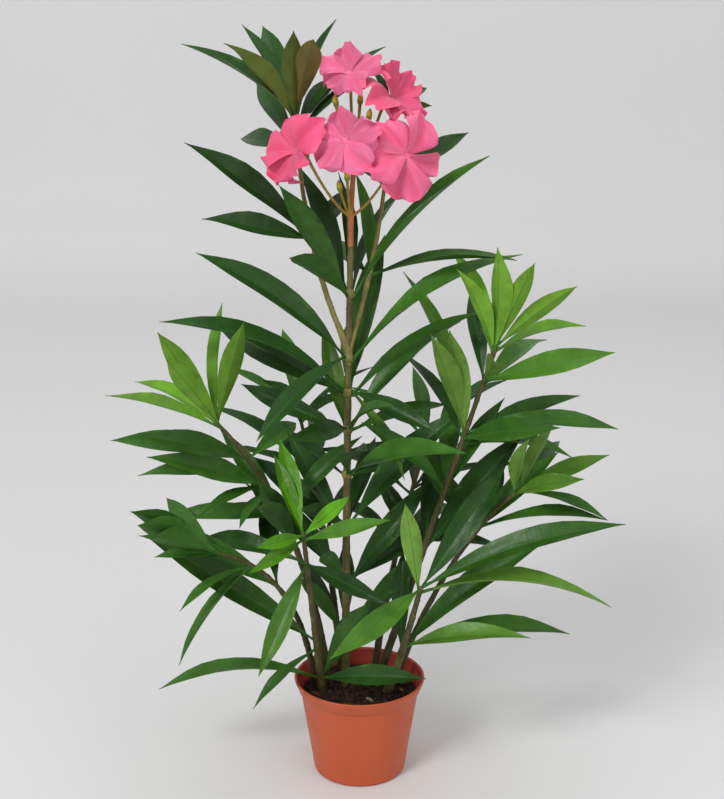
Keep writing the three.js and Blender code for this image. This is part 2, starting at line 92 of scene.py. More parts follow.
# Each limb runs from foot to tip on one bend. Its radii are at foot and tip.
LIMBS = {
    "trunk": ([-14, 10, FOOT], [-13, 3, 300], [-8, 3, 534], (4.2, 2.8)),
    "left": ([-30, 12, FOOT], [-50, 4, 270], [-135, -10, 367], (4.0, 1.9)),
    "front_left": ([-36, -4, FOOT], [-46, -20, 180], [-52, -60, 274], (4.2, 2.0)),
    "low_left": ([-44, 10, FOOT], [-56, -20, 225], [-134, -60, 255], (3.4, 1.8)),
    "right": ([16, 18, FOOT], [72, 6, 262], [128, -10, 443], (4.2, 1.9)),
    "mid_right": ([32, 10, FOOT], [85, 6, 240], [154, -10, 300], (3.4, 1.8)),
    "front_right": ([26, -4, FOOT], [45, -18, 140], [58, -50, 216], (4.4, 2.4)),
    "back_left": ([-18, 34, FOOT], [-30, 60, 230], [-62, 118, 335], (3.8, 1.8)),
    "back_right": ([14, 36, FOOT], [34, 58, 220], [72, 108, 318], (3.8, 1.8)),
    "top_left": ([-15, 3, 446], [-52, 8, 530], [-58, 10, 653], (2.7, 1.7)),
    "top_right": ([-9, 3, 436], [22, 22, 530], [30, 40, 654], (2.5, 1.6)),
}

# Each shoot starts at a share of its limb. A whorl is its place, a share of its limb or a height
# on the trunk, then its tint and its leaves. A leaf is (turn, rise, length, roll) and may name a
# tint of its own. A whorl with named numbers has its leaves spread by the seeded rule.
SHOOTS = {
    "top_left": (0.41, [
        (0.46, "dark", [(196, 39, 148, -50), (214, 15, 117, -60), (67, 21, 96, 25)]),
        (0.85, "dark", [(117, 30, 106, -25), (123, 0, 108, -50), (55, 12, 76, 40)]),
        (1, "dark", [
            (203, 32, 122, -30), (281, 34, 128, -15, "olive"), (113, 42, 112, -20),
            (237, 36, 125, 15, "moss"), (57, 53, 110, -20), (272, 48, 112, 10, "moss"),
            (138, 53, 112, 5), (70, 21, 103, 20), (29, 37, 116, -5), (16, 34, 112, 5)]),
    ]),
    "top_right": (0.27, [
        (0.32, "green", [(349, 8, 138, 5), (115, 10, 94, -30), (106, 63, 101, 25)]),
        (0.69, "dark", [(27, 27, 100, 40), (329, 3, 58, 25), (115, 14, 92, -30)]),
        (1, "dark", [(103, 55, 50, 45), (150, 60, 45, 0), (56, 15, 63, 20), (320, 16, 48, 40, "moss")]),
    ]),
    "left": (0.47, [
        (0.52, "dark", [(132, 42, 102, -35), (245, 52, 114, 30), (255, 40, 126, 20)]),
        (0.63, "green", [(150, 48, 105, -40), (20, 42, 110, 30), (185, 2, 110, -40)]),
        (0.75, "green", [(209, 22, 128, -60), (225, -7, 82, -10), (193, 9, 122, -20), (243, -21, 57, 5)]),
        (0.85, "green", [(198, 14, 133, -45), (219, 22, 130, -60), (66, 4, 103, 35)]),
        (1, "lime", [
            (220, 58, 116, 55), (83, 72, 114, -45), (307, 65, 119, -25), (243, 45, 121, 40),
            (143, 13, 116, -10), (170, 13, 116, -15)]),
    ]),
    "low_left": (0.56, [
        (0.64, "green", [(175, 33, 115, -70), (102, 32, 106, -5, "dark")]),
        (0.82, "green", [(216, -45, 114, 15), (222, -15, 86, 5)]),
        (0.88, "green", [(195, 20, 100, -50)]),
        (1, "green", [
            (226, 35, 118, 60), (245, 26, 122, 60), (126, 16, 98, -40), (236, 30, 130, 60),
            (209, 9, 68, -35)]),
    ]),
    "front_left": (0.08, [
        (0.12, "green", [(181, -4, 161, 0), (336, 11, 114, 50, "dark"), (313, 56, 128, -50, "dark")]),
        (0.3, "green", [(216, -30, 86, 0)]),
        (0.34, "green", [(189, 37, 202, -62)]),
        (0.82, "fresh", [(234, -50, 114, -30), (319, -7, 100, 55, "dark"), (152, 2, 118, -35, "dark")]),
        (1, "bright", [
            (112, 49, 100, -15), (26, 33, 56, 50), (217, 0, 52, -60), (127, 56, 86, -15),
            (351, 17, 84, 60, "fresh"), (221, -14, 66, -50)]),
    ]),
    "right": (0.36, [
        (0.42, "dark", [(13, 49, 155, 55), (132, 42, 96, -35), (77, 46, 121, 5)]),
        (0.6, "green", [(20, 55, 105, 40), (200, 42, 115, -50), (80, 48, 115, 0)]),
        (0.76, "light", [
            (233, 61, 125, 20), (349, 5, 143, 20, "green"), (144, 64, 164, 5), (240, 74, 118, -5),
            (312, 18, 125, 60, "green"), (135, 40, 115, 10, "dark"), (24, -14, 129, 10, "green"),
            (20, 16, 130, 20, "green"), (39, 9, 101, 55, "dark")]),
        (0.9, "fresh", [
            (346, 17, 126, 60), (270, 24, 118, -30, "light"), (98, 47, 100, 0, "dark"),
            (55, 9, 130, 15)]),
        (1, "lime", [
            (123, 48, 106, -5), (298, 57, 105, -30), (329, 40, 101, -60), (232, 54, 109, 5),
            (265, 65, 119, -30), (33, 5, 111, 10), (90, 20, 105, 0)]),
    ]),
    "mid_right": (0.7, [
        (0.79, "green", [
            (344, 9, 122, 10), (67, 31, 80, 20), (117, 20, 92, -35), (15, 42, 110, 40),
            (134, 42, 105, -55)]),
        (1, "light", [
            (336, 29, 98, 60), (307, 61, 91, -15), (343, -14, 87, 10, "green"), (309, 24, 96, 55),
            (275, 50, 100, 20), (59, 13, 107, 20, "green")]),
    ]),
    "front_right": (0.38, [
        (0.46, "green", [
            (9, 36, 175, 30), (341, 13, 129, 30, "light"), (4, 3, 164, 15),
            (88, 62, 100, -15, "dark")]),
        (1, "green", [
            (224, -16, 122, -55, "fresh"), (357, 20, 201, 35), (31, 48, 144, 50, "dark"),
            (354, -2, 180, 0, "light"), (237, 75, 102, 30, "light")]),
    ]),
    "back_left": (0.5, [
        (0.55, "dark", {"count": 3, "turn": 66, "sweep": 150, "rise": 19, "length": 118}),
        (0.78, "dark", {"count": 4, "turn": 20, "sweep": 195, "rise": 22, "length": 118}),
        (1, "green", {"count": 5, "turn": 20, "sweep": 290, "rise": 32, "length": 105}),
    ]),
    "back_right": (0.5, [
        (0.55, "dark", {"count": 3, "turn": -14, "sweep": 140, "rise": 6, "length": 118}),
        (0.78, "dark", {"count": 4, "turn": -16, "sweep": 166, "rise": 22, "length": 110}),
        (1, "green", {"count": 5, "turn": -110, "sweep": 270, "rise": 32, "length": 105}),
    ]),
}

TRUNK_WHORLS = [
    (142, "dark", [
        (223, 53, 92, 45), (327, 47, 90, -40), (43, 27, 113, 45, "green"), (121, 27, 103, -30),
        (91, 45, 95, 0)]),
    (200, "dark", [
        (159, 39, 134, -30), (27, 22, 125, 45), (254, 36, 91, 35), (20, 49, 124, 55),
        (151, 47, 96, -50)]),
    (258, "dark", [
        (149, 25, 116, -55), (247, 29, 110, 45), (7, 45, 158, 40), (154, 56, 108, -55),
        (69, 40, 99, 15)]),
    (310, "green", [
        (317, 20, 152, 40), (133, 9, 111, -25, "dark"), (280, 28, 126, 30, "dark"),
        (32, 6, 78, 60, "dark")]),
    (356, "green", [
        (23, 39, 147, 10), (156, 17, 115, -60, "dark"), (297, 27, 102, 40), (25, 7, 104, 25),
        (242, 10, 116, -60, "dark"), (118, 62, 104, -20, "light")]),
    (392, "dark", [
        (188, 23, 185, -20), (352, 35, 147, 20, "green"), (58, 66, 152, 10, "green"),
        (157, 22, 148, -60), (324, -14, 102, 45), (90, 31, 98, 5, "light"),
        (327, -53, 98, 10, "light")]),
    (426, "dark", [(190, 37, 170, -45), (3, 32, 186, 10, "green"), (220, -31, 122, -20)]),
    (487, "dark", [
        (214, 56, 126, 50), (346, 47, 182, 10, "green"), (145, 64, 126, -20), (245, 26, 128, 25),
        (59, 40, 131, -40), (103, 68, 117, 35)]),
]

HEAD = {
    "foot": (-8, 3, 533),
    "forks": [(-8, 2, 560), (-5, 0, 606)],
    "stalk_radius": 2.9,
    "side_radius": 1.2,
    "tube_length": 15,
    "tube_radii": (1.7, 4.4),
    # how far a side stalk runs into a flower's or a bud's foot
    "joined": 2,
    # radius and length of the sepals under a flower and under a bud
    "sepals": (2.0, 6),
    "bud_sepals": (1.9, 4.5),
    # fork, throat, turn, rise, petal length, how far the petals lean, spin, tint
    "flowers": [
        (0, (-56, -35, 624), 222, 20, 38, 72, 20, "rose"),
        (0, (41, -42, 622), 288, -5, 38, 84, 32, "coral"),
        (1, (-12, -46, 635), 262, 16, 32, 84, 0, "pink"),
        (1, (-9, -20, 690), 262, 42, 29, 72, 0, "pink"),
        (1, (29, -14, 667), 318, 32, 37, 72, 10, "rose"),
    ],
    "buds": [
        (0, (-18, -8, 590)), (0, (-11, -12, 600)), (1, (-21, -12, 666)),
        (1, (1, -12, 668)), (1, (9, -20, 655)),
    ],
    "bud_length": 11,
    "bud_radius": 2.6,
}

# The upper face, the underside and the midrib of each tint of leaf. Apart from the dark and green tints,
# the midrib is darker than the upper face: painted shade of the crease along it.
TINTS = {
    "dark": ((0.018, 0.067, 0.008), (0.045, 0.12, 0.022), (0.03, 0.12, 0.015)),
    "green": ((0.04, 0.132, 0.012), (0.055, 0.155, 0.022), (0.05, 0.17, 0.025)),
    "fresh": ((0.07, 0.2, 0.015), (0.085, 0.225, 0.025), (0.05, 0.17, 0.015)),
    "bright": ((0.09, 0.29, 0.006), (0.13, 0.33, 0.02), (0.06, 0.2, 0.008)),
    "lime": ((0.12, 0.3, 0.016), (0.165, 0.35, 0.035), (0.08, 0.22, 0.02)),
    "light": ((0.09, 0.21, 0.02), (0.14, 0.27, 0.045), (0.07, 0.17, 0.025)),
    "moss": ((0.095, 0.14, 0.013), (0.115, 0.17, 0.03), (0.07, 0.1, 0.015)),
    "olive": ((0.14, 0.11, 0.016), (0.155, 0.135, 0.03), (0.1, 0.08, 0.02)),
}

# The spread petals and the throat of each tint of flower.
PETAL_TINTS = {
    "pink": ((0.8, 0.185, 0.36), (0.82, 0.26, 0.4)),
    "rose": ((0.76, 0.11, 0.24), (0.78, 0.18, 0.3)),
    "coral": ((0.78, 0.15, 0.3), (0.82, 0.23, 0.36)),
}
# A flower's petals differ by this much: share of the length, lean and spin.
PETALS_UNEVEN = (0.24, 22, 16)
BUD_FOOT = (0.2, 0.3, 0.04)
BUD_TIP = (0.72, 0.26, 0.08)
CALYX_GREEN = (0.3, 0.33, 0.05)
# Fine and coarse bark and pale bits among the chips, and the draws under which each of the first
# two is taken.
CHIP_TONES = [(0.035, 0.018, 0.01), (0.085, 0.04, 0.02), (0.3, 0.24, 0.17)]
CHIP_DRAWS = (0.6, 0.97)

CHIP_SEED, FLOWER_SEED, RUFFLE_SEED = 77, 40, 400


# ---- sizes and colours that a user changes ------------------------------------------------


def colour(name, description, default):
    """A colour setting, in linear light."""
    return FloatVectorProperty(
        name=name, description=description, default=default, subtype="COLOR", size=3, min=0, max=1
    )


def measure(name, description, default, low, high):
    """A length setting, in metres."""
    return FloatProperty(
        name=name, description=description, default=default, unit="LENGTH", min=low, max=high
    )


def portion(name, description, default, high):
    """A setting that is a share of a size."""
    return FloatProperty(name=name, description=description, default=default, min=0, max=high)


def amount(name, description, default, low, high):
    """A setting that counts things."""
    return IntProperty(name=name, description=description, default=default, min=low, max=high)


class OleanderPot(PropertyGroup):
    """The nursery pot and what fills it."""

    outside: colour("Outside", "Colour of the pot's outer face", (0.52, 0.094, 0.03))
    # The inside colour is darker and redder than the outside: painted shade and painted red bounce light
    # of the pot's hollow.
    inside: colour("Inside", "Colour of the pot's inner face", (0.42, 0.035, 0.02))
    soil: colour("Soil", "Colour of the potting mix", (0.026, 0.014, 0.009))
    sides: amount("Sides", "Facets round the pot", 112, 24, 256)
    lip: measure("Lip", "Thickness of the rolled rim", 0.0024, 0.001, 0.005)
    chips: amount("Chips", "Bark chips on the soil", 420, 0, 2000)
    chip_length: measure("Chip length", "Longest bark chip", 0.010, 0.002, 0.03)


class OleanderBark(PropertyGroup):
    """The covering of the trunk, stems and boughs."""

    old: colour("Old bark", "Colour of the trunk and stems", (0.14, 0.125, 0.043))
    young: colour("Young bark", "Colour of the boughs and of pale streaks", (0.24, 0.21, 0.068))
    relief: measure("Relief", "Height of the ridges", 0.00045, 0, 0.002)
    node_spacing: measure("Node spacing", "Distance between leaf scars", 0.024, 0.005, 0.1)


class OleanderLeaves(PropertyGroup):
    """The long leaves of every shoot."""

    thickness: measure("Thickness", "Thickness of a blade", 0.0005, 0.0002, 0.003)
    fold: FloatProperty(
        name="Fold",
        description="Rise of each half blade",
        default=math.radians(28),
        subtype="ANGLE",
        min=0,
        max=1,
    )
    wave: portion("Wave", "Waviness of the margins, as a share of the half width", 0.10, 0.5)
    rib: measure("Rib", "Width of the midrib", 0.0009, 0.0003, 0.004)


class OleanderFlowers(PropertyGroup):
    """The flower head."""

    ruffle: portion("Ruffle", "Ruffling of a petal's edge, as a share of its length", 0.14, 0.3)
    thickness: measure("Thickness", "Thickness of a petal", 0.0005, 0.0002, 0.002)
    stalk: colour("Stalk", "Colour of the flower stalk", (0.5, 0.17, 0.065))
    side_stalk: colour("Side stalks", "Colour of the side stalks", (0.4, 0.27, 0.04))
    bud: colour("Buds", "Colour of the buds", (0.72, 0.62, 0.06))


class OleanderStage(PropertyGroup):
    """The floor, lights and camera."""

    floor: colour("Floor", "Colour of the floor and backdrop", (0.745, 0.745, 0.745))
    depth: measure("Depth", "Floor behind the plant", 2.2, 1, 10)


# ---- small helpers -------------------------------------------------------------------------


def heading(turn, rise):
    """The way that a turn and a rise point."""
    t, r = math.radians(turn), math.radians(rise)
    return np.array([math.cos(r) * math.cos(t), math.cos(r) * math.sin(t), math.sin(r)])


def turned(vector, axis, angle):
    """A vector turned about an axis by an angle in degrees."""
    a = math.radians(angle)
    return (
        vector * math.cos(a)
        + np.cross(axis, vector) * math.sin(a)
        + axis * np.dot(axis, vector) * (1 - math.cos(a))
    )


def unit(vector):
    """The vector at length one."""
    return vector / np.linalg.norm(vector)


def lerp(a, b, share):
    """The value at a share of the way from a to b."""
    return a + (b - a) * share


# The spread of the seeds, and the draws' factor, step and range.
SEED_SPREAD, DRAW_FACTOR, DRAW_STEP, DRAW_RANGE = 2654435761, 1664525, 1013904223, 2**32


def seeded(seed):
    """Draws from 0 to 1, the same on every run and for each seed its own."""
    state = (seed * SEED_SPREAD) % DRAW_RANGE

    def draw():
        nonlocal state
        state = (state * DRAW_FACTOR + DRAW_STEP) % DRAW_RANGE
        return state / DRAW_RANGE

    return draw


class Line:
    """A bent line from foot to tip, read by share of its length."""

    STEPS = 200

    def __init__(self, foot, bend, tip):
        self.ends = [np.array(p, float) for p in (foot, bend, tip)]
        self.steps = np.linspace(0, 1, self.STEPS + 1)
        places = np.array([self.place(t) for t in self.steps])
        strides = np.linalg.norm(np.diff(places, axis=0), axis=1)
        self.reach = np.concatenate([[0], np.cumsum(strides)])
        self.length = self.reach[-1]

    def place(self, t):
        a, b, c = self.ends
        return (1 - t) ** 2 * a + 2 * t * (1 - t) * b + t * t * c

    def bent(self, share):
        return np.interp(share * self.length, self.reach, self.steps)

    def point(self, share):
        return self.place(self.bent(share))

    def way(self, share):
        t = self.bent(share)
        a, b, c = self.ends
        return unit((1 - t) * (b - a) + t * (c - b))

    def share_at(self, height):
        """The share of the length at which the line passes a height."""
        heights = [self.point(s)[2] for s in self.steps]
        return next(i for i, z in enumerate(heights) if z >= height) / self.STEPS


LINES = {name: Line(*limb[:3]) for name, limb in LIMBS.items()}


def limb_radius(name, share):
    """A limb's radius at a share of its length, with the flare at its foot."""
    flare = 1 + FLARE["share"] * max(0, 1 - share * LINES[name].length / FLARE["height"]) ** 2
    return lerp(*LIMBS[name][3], share) * flare


class Cluster:
    """Small closed tubes gathered into one mesh, each with a material, a place on it and a shade."""

    def __init__(self):
        self.points, self.faces, self.kinds, self.places, self.shades = [], [], [], [], []

    def add(self, rings, kinds, places, shade=0.5):
        """Adds a tube through rings of points. kinds gives each row's and each side's material."""
        rows, sides = rings.shape[:2]
        base = len(self.points)
        self.points.extend(rings.reshape(-1, 3))
        self.places.extend(places.reshape(-1, 2))
        self.shades.extend([shade] * rows * sides)
        for j in range(rows - 1):
            for k in range(sides):
                n = (k + 1) % sides
                a, b = base + j * sides, base + (j + 1) * sides
                self.faces.append((a + k, a + n, b + n, b + k))
                self.kinds.append(kinds[j][k])
        self.faces.append(tuple(base + k for k in reversed(range(sides))))
        self.kinds.append(kinds[0][0])
        self.faces.append(tuple(base + (rows - 1) * sides + k for k in range(sides)))
        self.kinds.append(kinds[-1][0])

    def piece(self, name, materials, node, slot, sharp=55):
        """Makes the object, in place of a solid of the frame."""
        mesh = bpy.data.meshes.new(name)
        mesh.from_pydata([Vector(p * MM) for p in self.points], [], self.faces)
        for material in materials:
            mesh.materials.append(material)
        mesh.polygons.foreach_set("material_index", self.kinds)
        mesh.shade_smooth()
        mesh.set_sharp_from_angle(angle=math.radians(sharp))
        corners = np.empty(len(mesh.loops), int)
        mesh.loops.foreach_get("vertex_index", corners)
        layer = mesh.uv_layers.new(name="surface")
        layer.data.foreach_set("uv", np.array(self.places, float)[corners].ravel())
        shade = mesh.attributes.new("shade", "FLOAT", "POINT")
        shade.data.foreach_set("value", np.array(self.shades, float))
        mesh.validate()
        return settled(bpy.data.objects.new(name, mesh), node, slot)


def settled(piece, node, slot):
    """Puts a finished piece in the scene, in place of a node; the slot is not used."""
    bpy.context.scene.collection.objects.link(piece)
    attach(piece, "root")
    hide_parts(node)
    return piece


def smooth_mesh(shape, name, sharp=None):
    """Makes a smooth mesh of a shape, with edges sharp past an angle if one is given."""
    for face in shape.faces:
        face.smooth = True
    mesh = bpy.data.meshes.new(name)
    shape.to_mesh(mesh)
    shape.free()
    if sharp is not None:
        mesh.set_sharp_from_angle(angle=math.radians(sharp))
    return mesh


def add_tube(cluster, middles, ways, radii, kind, sides):
    """Adds a round tube, given each ring's middle, way and radius."""
    angles = np.arange(sides) * 2 * math.pi / sides
    rings = []
    for middle, way, radius in zip(middles, ways, radii):
        aside = (0, 1, 0) if abs(way[1]) < 0.9 else (1, 0, 0)
        side = unit(np.cross(aside, way))
        up = np.cross(way, side)
        rings.append([middle + radius * (side * math.cos(a) + up * math.sin(a)) for a in angles])
    rows = len(rings)
    places = [[(k / sides, j / (rows - 1)) for k in range(sides)] for j in range(rows)]
    cluster.add(np.array(rings), [[kind] * sides] * rows, np.array(places))


def add_rod(cluster, points, radii, kind, sides):
    """Adds a round rod along a list of points."""
    points = np.array(points, float)
    ways = [unit(w) for w in np.gradient(points, axis=0)]
    add_tube(cluster, points, ways, radii, kind, sides)


# ---- materials -----------------------------------------------------------------------------


class Finish:
    """A principled material with a few procedural steps. Steps are given as output sockets."""

    def __init__(self, name, roughness, specular, more=None):
        self.material = bpy.data.materials.new(name)
        self.material.use_nodes = True
        self.tree = self.material.node_tree
        self.shader = self.tree.nodes["Principled BSDF"]
        self.feed(self.shader, {"Roughness": roughness, "Specular IOR Level": specular})
        self.feed(self.shader, more or {})

    def feed(self, node, inputs):
        """Sets a node's inputs to values, or links them where a socket is given."""
        for key, value in inputs.items():
            if isinstance(value, bpy.types.NodeSocket):
                self.tree.links.new(value, node.inputs[key])
            else:
                node.inputs[key].default_value = value

    def node(self, kind, output, inputs=None, **settings):
        """Makes a node with its settings and inputs, and gives one of its outputs."""
        made = self.tree.nodes.new(kind)
        for key, value in settings.items():
            setattr(made, key, value)
        self.feed(made, inputs or {})
        return made.outputs[output]

    def place(self, source="Object", scale=(1, 1, 1)):
        """Coordinates on the object, or on its own UV map, scaled."""
        if source == "Object":
            coordinates = self.node("ShaderNodeTexCoord", "Object")
        else:
            coordinates = self.node("ShaderNodeUVMap", "UV", uv_map="surface")
        return self.node("ShaderNodeMapping", "Vector", {"Vector": coordinates, "Scale": scale})

    def along(self):
        """The share of the way along a piece, from its UV map."""
        return self.node("ShaderNodeSeparateXYZ", "Y", {"Vector": self.place("UV")})

    def noise(self, place, scale, detail=3, roughness=0.55):
        """Cloudy noise."""
        inputs = {"Vector": place, "Scale": scale, "Detail": detail, "Roughness": roughness}
        return self.node("ShaderNodeTexNoise", "Fac", inputs)

    def ramp(self, factor, stops):
        """A colour ramp from (place, colour) stops."""
        made = self.node("ShaderNodeValToRGB", "Color", {"Fac": factor})
        elements = made.node.color_ramp.elements
        while len(elements) < len(stops):
            elements.new(0.5)
        for element, (position, shade) in zip(elements, stops):
            element.position = position
            element.color = (*shade, 1)
        return made

    def multiplied(self, tone, other, factor):
        """A tone multiplied by another, as far as the factor says."""
        inputs = {"A": tone, "B": other, "Factor": factor}
        return self.node("ShaderNodeMix", "Result", inputs, data_type="RGBA", blend_type="MULTIPLY")

    def shaded(self, base, low, high):
        """A colour made darker or lighter by the mesh's shade."""
        shade = self.node("ShaderNodeAttribute", "Fac", attribute_name="shade")
        reach = self.node("ShaderNodeMapRange", "Result", {"Value": shade, "To Min": low, "To Max": high})
        return self.node("ShaderNodeHueSaturation", "Color", {"Color": base, "Value": reach})

    def colour(self, base):
        """Takes a base colour."""
        self.feed(self.shader, {"Base Color": base})

    def gloss(self, factor, low, high):
        """Takes a roughness that varies between two values."""
        inputs = {"Value": factor, "From Min": 0.3, "From Max": 0.7, "To Min": low, "To Max": high}
        self.feed(self.shader, {"Roughness": self.node("ShaderNodeMapRange", "Result", inputs)})

    def bump(self, height, distance, strength, under=None):
        """Takes a bump of the given depth in metres, over an earlier one if given."""
        inputs = {"Height": height, "Distance": distance, "Strength": strength}
        if under is not None:
            inputs["Normal"] = under
        normal = self.node("ShaderNodeBump", "Normal", inputs)
        self.feed(self.shader, {"Normal": normal})
        return normal


def scaled(shade, factor):
    """A colour made darker or lighter."""
    return tuple(min(1, c * factor) for c in shade)


def pot_finish(name, base):
    """Moulded plastic: a faint cloudiness, fine grain and soft vertical flow marks."""
    made = Finish(name, 0.46, 0.42)
    clouds = made.noise(made.place(scale=(1, 1, 0.35)), 26, 4)
    made.colour(made.ramp(clouds, [(0.3, scaled(base, 0.95)), (0.7, scaled(base, 1.04))]))
    made.gloss(made.noise(made.place(), 60, 2), 0.4, 0.54)
    flow = made.bump(made.noise(made.place(scale=(1, 1, 0.08)), 160, 2), 0.0002, 0.35)
    made.bump(made.noise(made.place(), 1400, 2), 0.00008, 0.4, flow)
    return made.material


def soil_finish(name, base, pale):
    """Peat or bark with a crumbly surface."""
    made = Finish(name, 0.9, 0.25)
    grains = made.noise(made.place(), 420, 5, 0.7)
    made.colour(made.ramp(grains, [(0.3, scaled(base, 0.5)), (0.55, base), (0.75, pale)]))
    made.bump(made.noise(made.place(), 900, 5, 0.7), 0.0012, 0.9)
    return made.material


def bark_finish(name, low, high):
    """Stem covering with long streaks between two tones, and cloudy patches."""
    made = Finish(name, 0.58, 0.35)
    streaks = made.noise(made.place(scale=(1, 1, 0.12)), 420, 4, 0.65)
    tone = made.ramp(streaks, [(0.3, scaled(low, 0.6)), (0.55, low), (0.75, high)])
    clouds = made.noise(made.place(), 70)
    patches = made.ramp(clouds, [(0.35, (0.6, 0.6, 0.5)), (0.65, (1.25, 1.25, 1.15))])
    made.colour(made.multiplied(tone, patches, 0.55))
    made.bump(streaks, 0.0004, 0.6)
    return made.material


def leaf_finish(name, base, roughness, specular, vein):
    """A satin blade with a soft mottle and fine side veins."""
    made = Finish(name, roughness, specular)
    mottle = made.noise(made.place(), 55, 3)
    tone = made.ramp(mottle, [(0.3, scaled(base, 0.8)), (0.7, scaled(base, 1.16))])
    made.colour(made.shaded(tone, 0.55, 1.42))
    made.gloss(made.noise(made.place(), 140, 2), roughness - 0.05, roughness + 0.07)
    inputs = {"Vector": made.place("UV"), "Scale": 14, "Distortion": 1.2, "Detail": 1}
    bands = {"wave_type": "BANDS", "bands_direction": "Y", "wave_profile": "SIN"}
    veins = made.node("ShaderNodeTexWave", "Fac", inputs, **bands)
    crumple = made.bump(made.noise(made.place("UV", (2.2, 7, 1)), 1, 2), 0.0022, 0.5)
    weave = made.bump(made.noise(made.place(), 2600, 1), 0.00006, 0.35, crumple)
    made.bump(veins, vein, 0.5, weave)
    return made.material


def rib_finish(name, base):
    """A midrib or leaf stalk. For the dark and green tints it is paler than the blade; for the others it
    is darker, painted shade of the crease along the midrib.
    """
    made = Finish(name, 0.5, 0.25)
    mottle = made.ramp(made.noise(made.place(), 120, 2), [(0.3, scaled(base, 0.85)), (0.7, base)])
    made.colour(made.shaded(mottle, 0.8, 1.1))
    made.bump(made.noise(made.place(), 1500, 1), 0.00006, 0.4)
    return made.material


def petal_finish(name, base, throat):
    """A woven petal: paler throat, fine veins along it, a soft sheen and painted shade in its creases."""
    made = Finish(name, 0.6, 0.3, {
        "Sheen Weight": 0.25,
        "Sheen Roughness": 0.4,
        "Subsurface Weight": 0.35,
        "Subsurface Radius": (0.005, 0.0015, 0.002),
    })
    veins = made.noise(made.place("UV", (14, 0.8, 1)), 3, 2)
    inputs = {0: veins, 1: 0.16, 2: made.along()}
    blend = made.node("ShaderNodeMath", "Value", inputs, operation="MULTIPLY_ADD")
    stops = [(0.14, throat), (0.42, base), (0.8, base), (1.0, scaled(base, 1.15))]
    folds = made.noise(made.place("UV", (3, 1.2, 1)), 1.2, 2)
    # Painted shade: the petal is darkened where the fold noise is low, in the creases that the bump below
    # sinks.
    painted_fold_shade = made.ramp(folds, [(0.3, (1, 0.6, 0.66)), (0.6, (1, 1, 1))])
    made.colour(made.shaded(made.multiplied(made.ramp(blend, stops), painted_fold_shade, 0.85), 0.88, 1.14))
    grain = made.bump(made.noise(made.place(), 2200, 1), 0.00006, 0.3)
    ridged = made.bump(folds, 0.002, 0.4, grain)
    made.bump(veins, 0.00025, 0.4, ridged)
    return made.material


def stalk_finish(name, base):
    """A smooth young stalk with a faint streak."""
    made = Finish(name, 0.5, 0.4)
    streaks = made.noise(made.place(scale=(1, 1, 0.2)), 300, 2)
    made.colour(made.ramp(streaks, [(0.3, scaled(base, 0.75)), (0.7, scaled(base, 1.15))]))
    made.bump(streaks, 0.0002, 0.5)
    return made.material


def bud_finish(name, base):
    """A bud, green at the foot and salmon at the tip."""
    made = Finish(name, 0.5, 0.4)
    made.colour(made.ramp(made.along(), [(0.15, BUD_FOOT), (0.55, base), (0.95, BUD_TIP)]))
    made.bump(made.noise(made.place("UV", (8, 0.6, 1)), 3, 1), 0.0006, 0.6)
    return made.material


def leaf_materials():
    """Upper face, underside and midrib for each tint, in the tints' order."""
    made = []
    for name, (top, under, rib) in TINTS.items():
        made.append(leaf_finish("leaf_" + name + "_top", top, 0.36, 0.26, 0.00006))
        made.append(leaf_finish("leaf_" + name + "_under", under, 0.62, 0.15, 0.00012))
        made.append(rib_finish("leaf_" + name + "_rib", rib))
    return made


# ---- pot and soil ----------------------------------------------------------------------------


def turned_piece(name, profile, sides, bend=None):
    """A closed turned mesh from a profile of (radius, height) that starts and ends on the axis."""
    shape = bmesh.new()
    line = [shape.verts.new((radius * MM, 0, height * MM)) for radius, height in profile]
    edges = [shape.edges.new(pair) for pair in zip(line, line[1:])]
    about = {"cent": (0, 0, 0), "axis": (0, 0, 1), "angle": 2 * math.pi}
    bmesh.ops.spin(shape, geom=line + edges, steps=sides, use_merge=True, **about)
    bmesh.ops.remove_doubles(shape, verts=shape.verts, dist=1e-6)
    bmesh.ops.recalc_face_normals(shape, faces=shape.faces)
    if bend:
        for vertex in shape.verts:
            bend(vertex)
    return bpy.data.objects.new(name, smooth_mesh(shape, name, 40))


def pot_profile(lip):
    """The pot's outside from the middle of the foot up, round the lip, and its inside back down."""
    height, rim, band = POT["height"], POT["rim_radius"], POT["band_radius"]
    body, foot, wall = POT["body_radius"], POT["foot_radius"], POT["wall"]
    rounding, floor = POT["foot_rounding"], POT["floor"]
    band_foot = height - POT["band_height"]
    corner = [
        (foot - rounding + rounding * math.sin(a), rounding - rounding * math.cos(a))
        for a in np.radians([0, 20, 40, 60, 80])
    ]
    steps = [(lerp(foot, body, s), lerp(rounding, band_foot - 2.4, s)) for s in np.linspace(0, 1, 9)]
    half = lip / 2
    lips = [
        (rim - half + half * math.cos(a), height - half + half * math.sin(a))
        for a in np.radians([-70, -35, 0, 35, 70, 100, 130])
    ]
    ledge = [(body + 0.35, band_foot - 1.4), (band - 0.5, band_foot - 0.7), (band, band_foot)]
    middle = ((band + rim) / 2, (band_foot + height) / 2)
    inside = [
        (rim - 2.6, height - 1.6),
        (band - wall, band_foot + 1),
        (body - wall, band_foot - 2),
        ((foot + body) / 2 - wall, (band_foot + rounding) / 2),
        (foot - wall, rounding + floor),
        (foot - wall - 2, floor),
    ]
    under_lip = (rim - 0.5, height - lip - 0.6)
    return [
        (0, 0), (foot * 0.5, 0), *corner, *steps, *ledge, middle, under_lip, *lips, *inside, (0, floor)
    ]


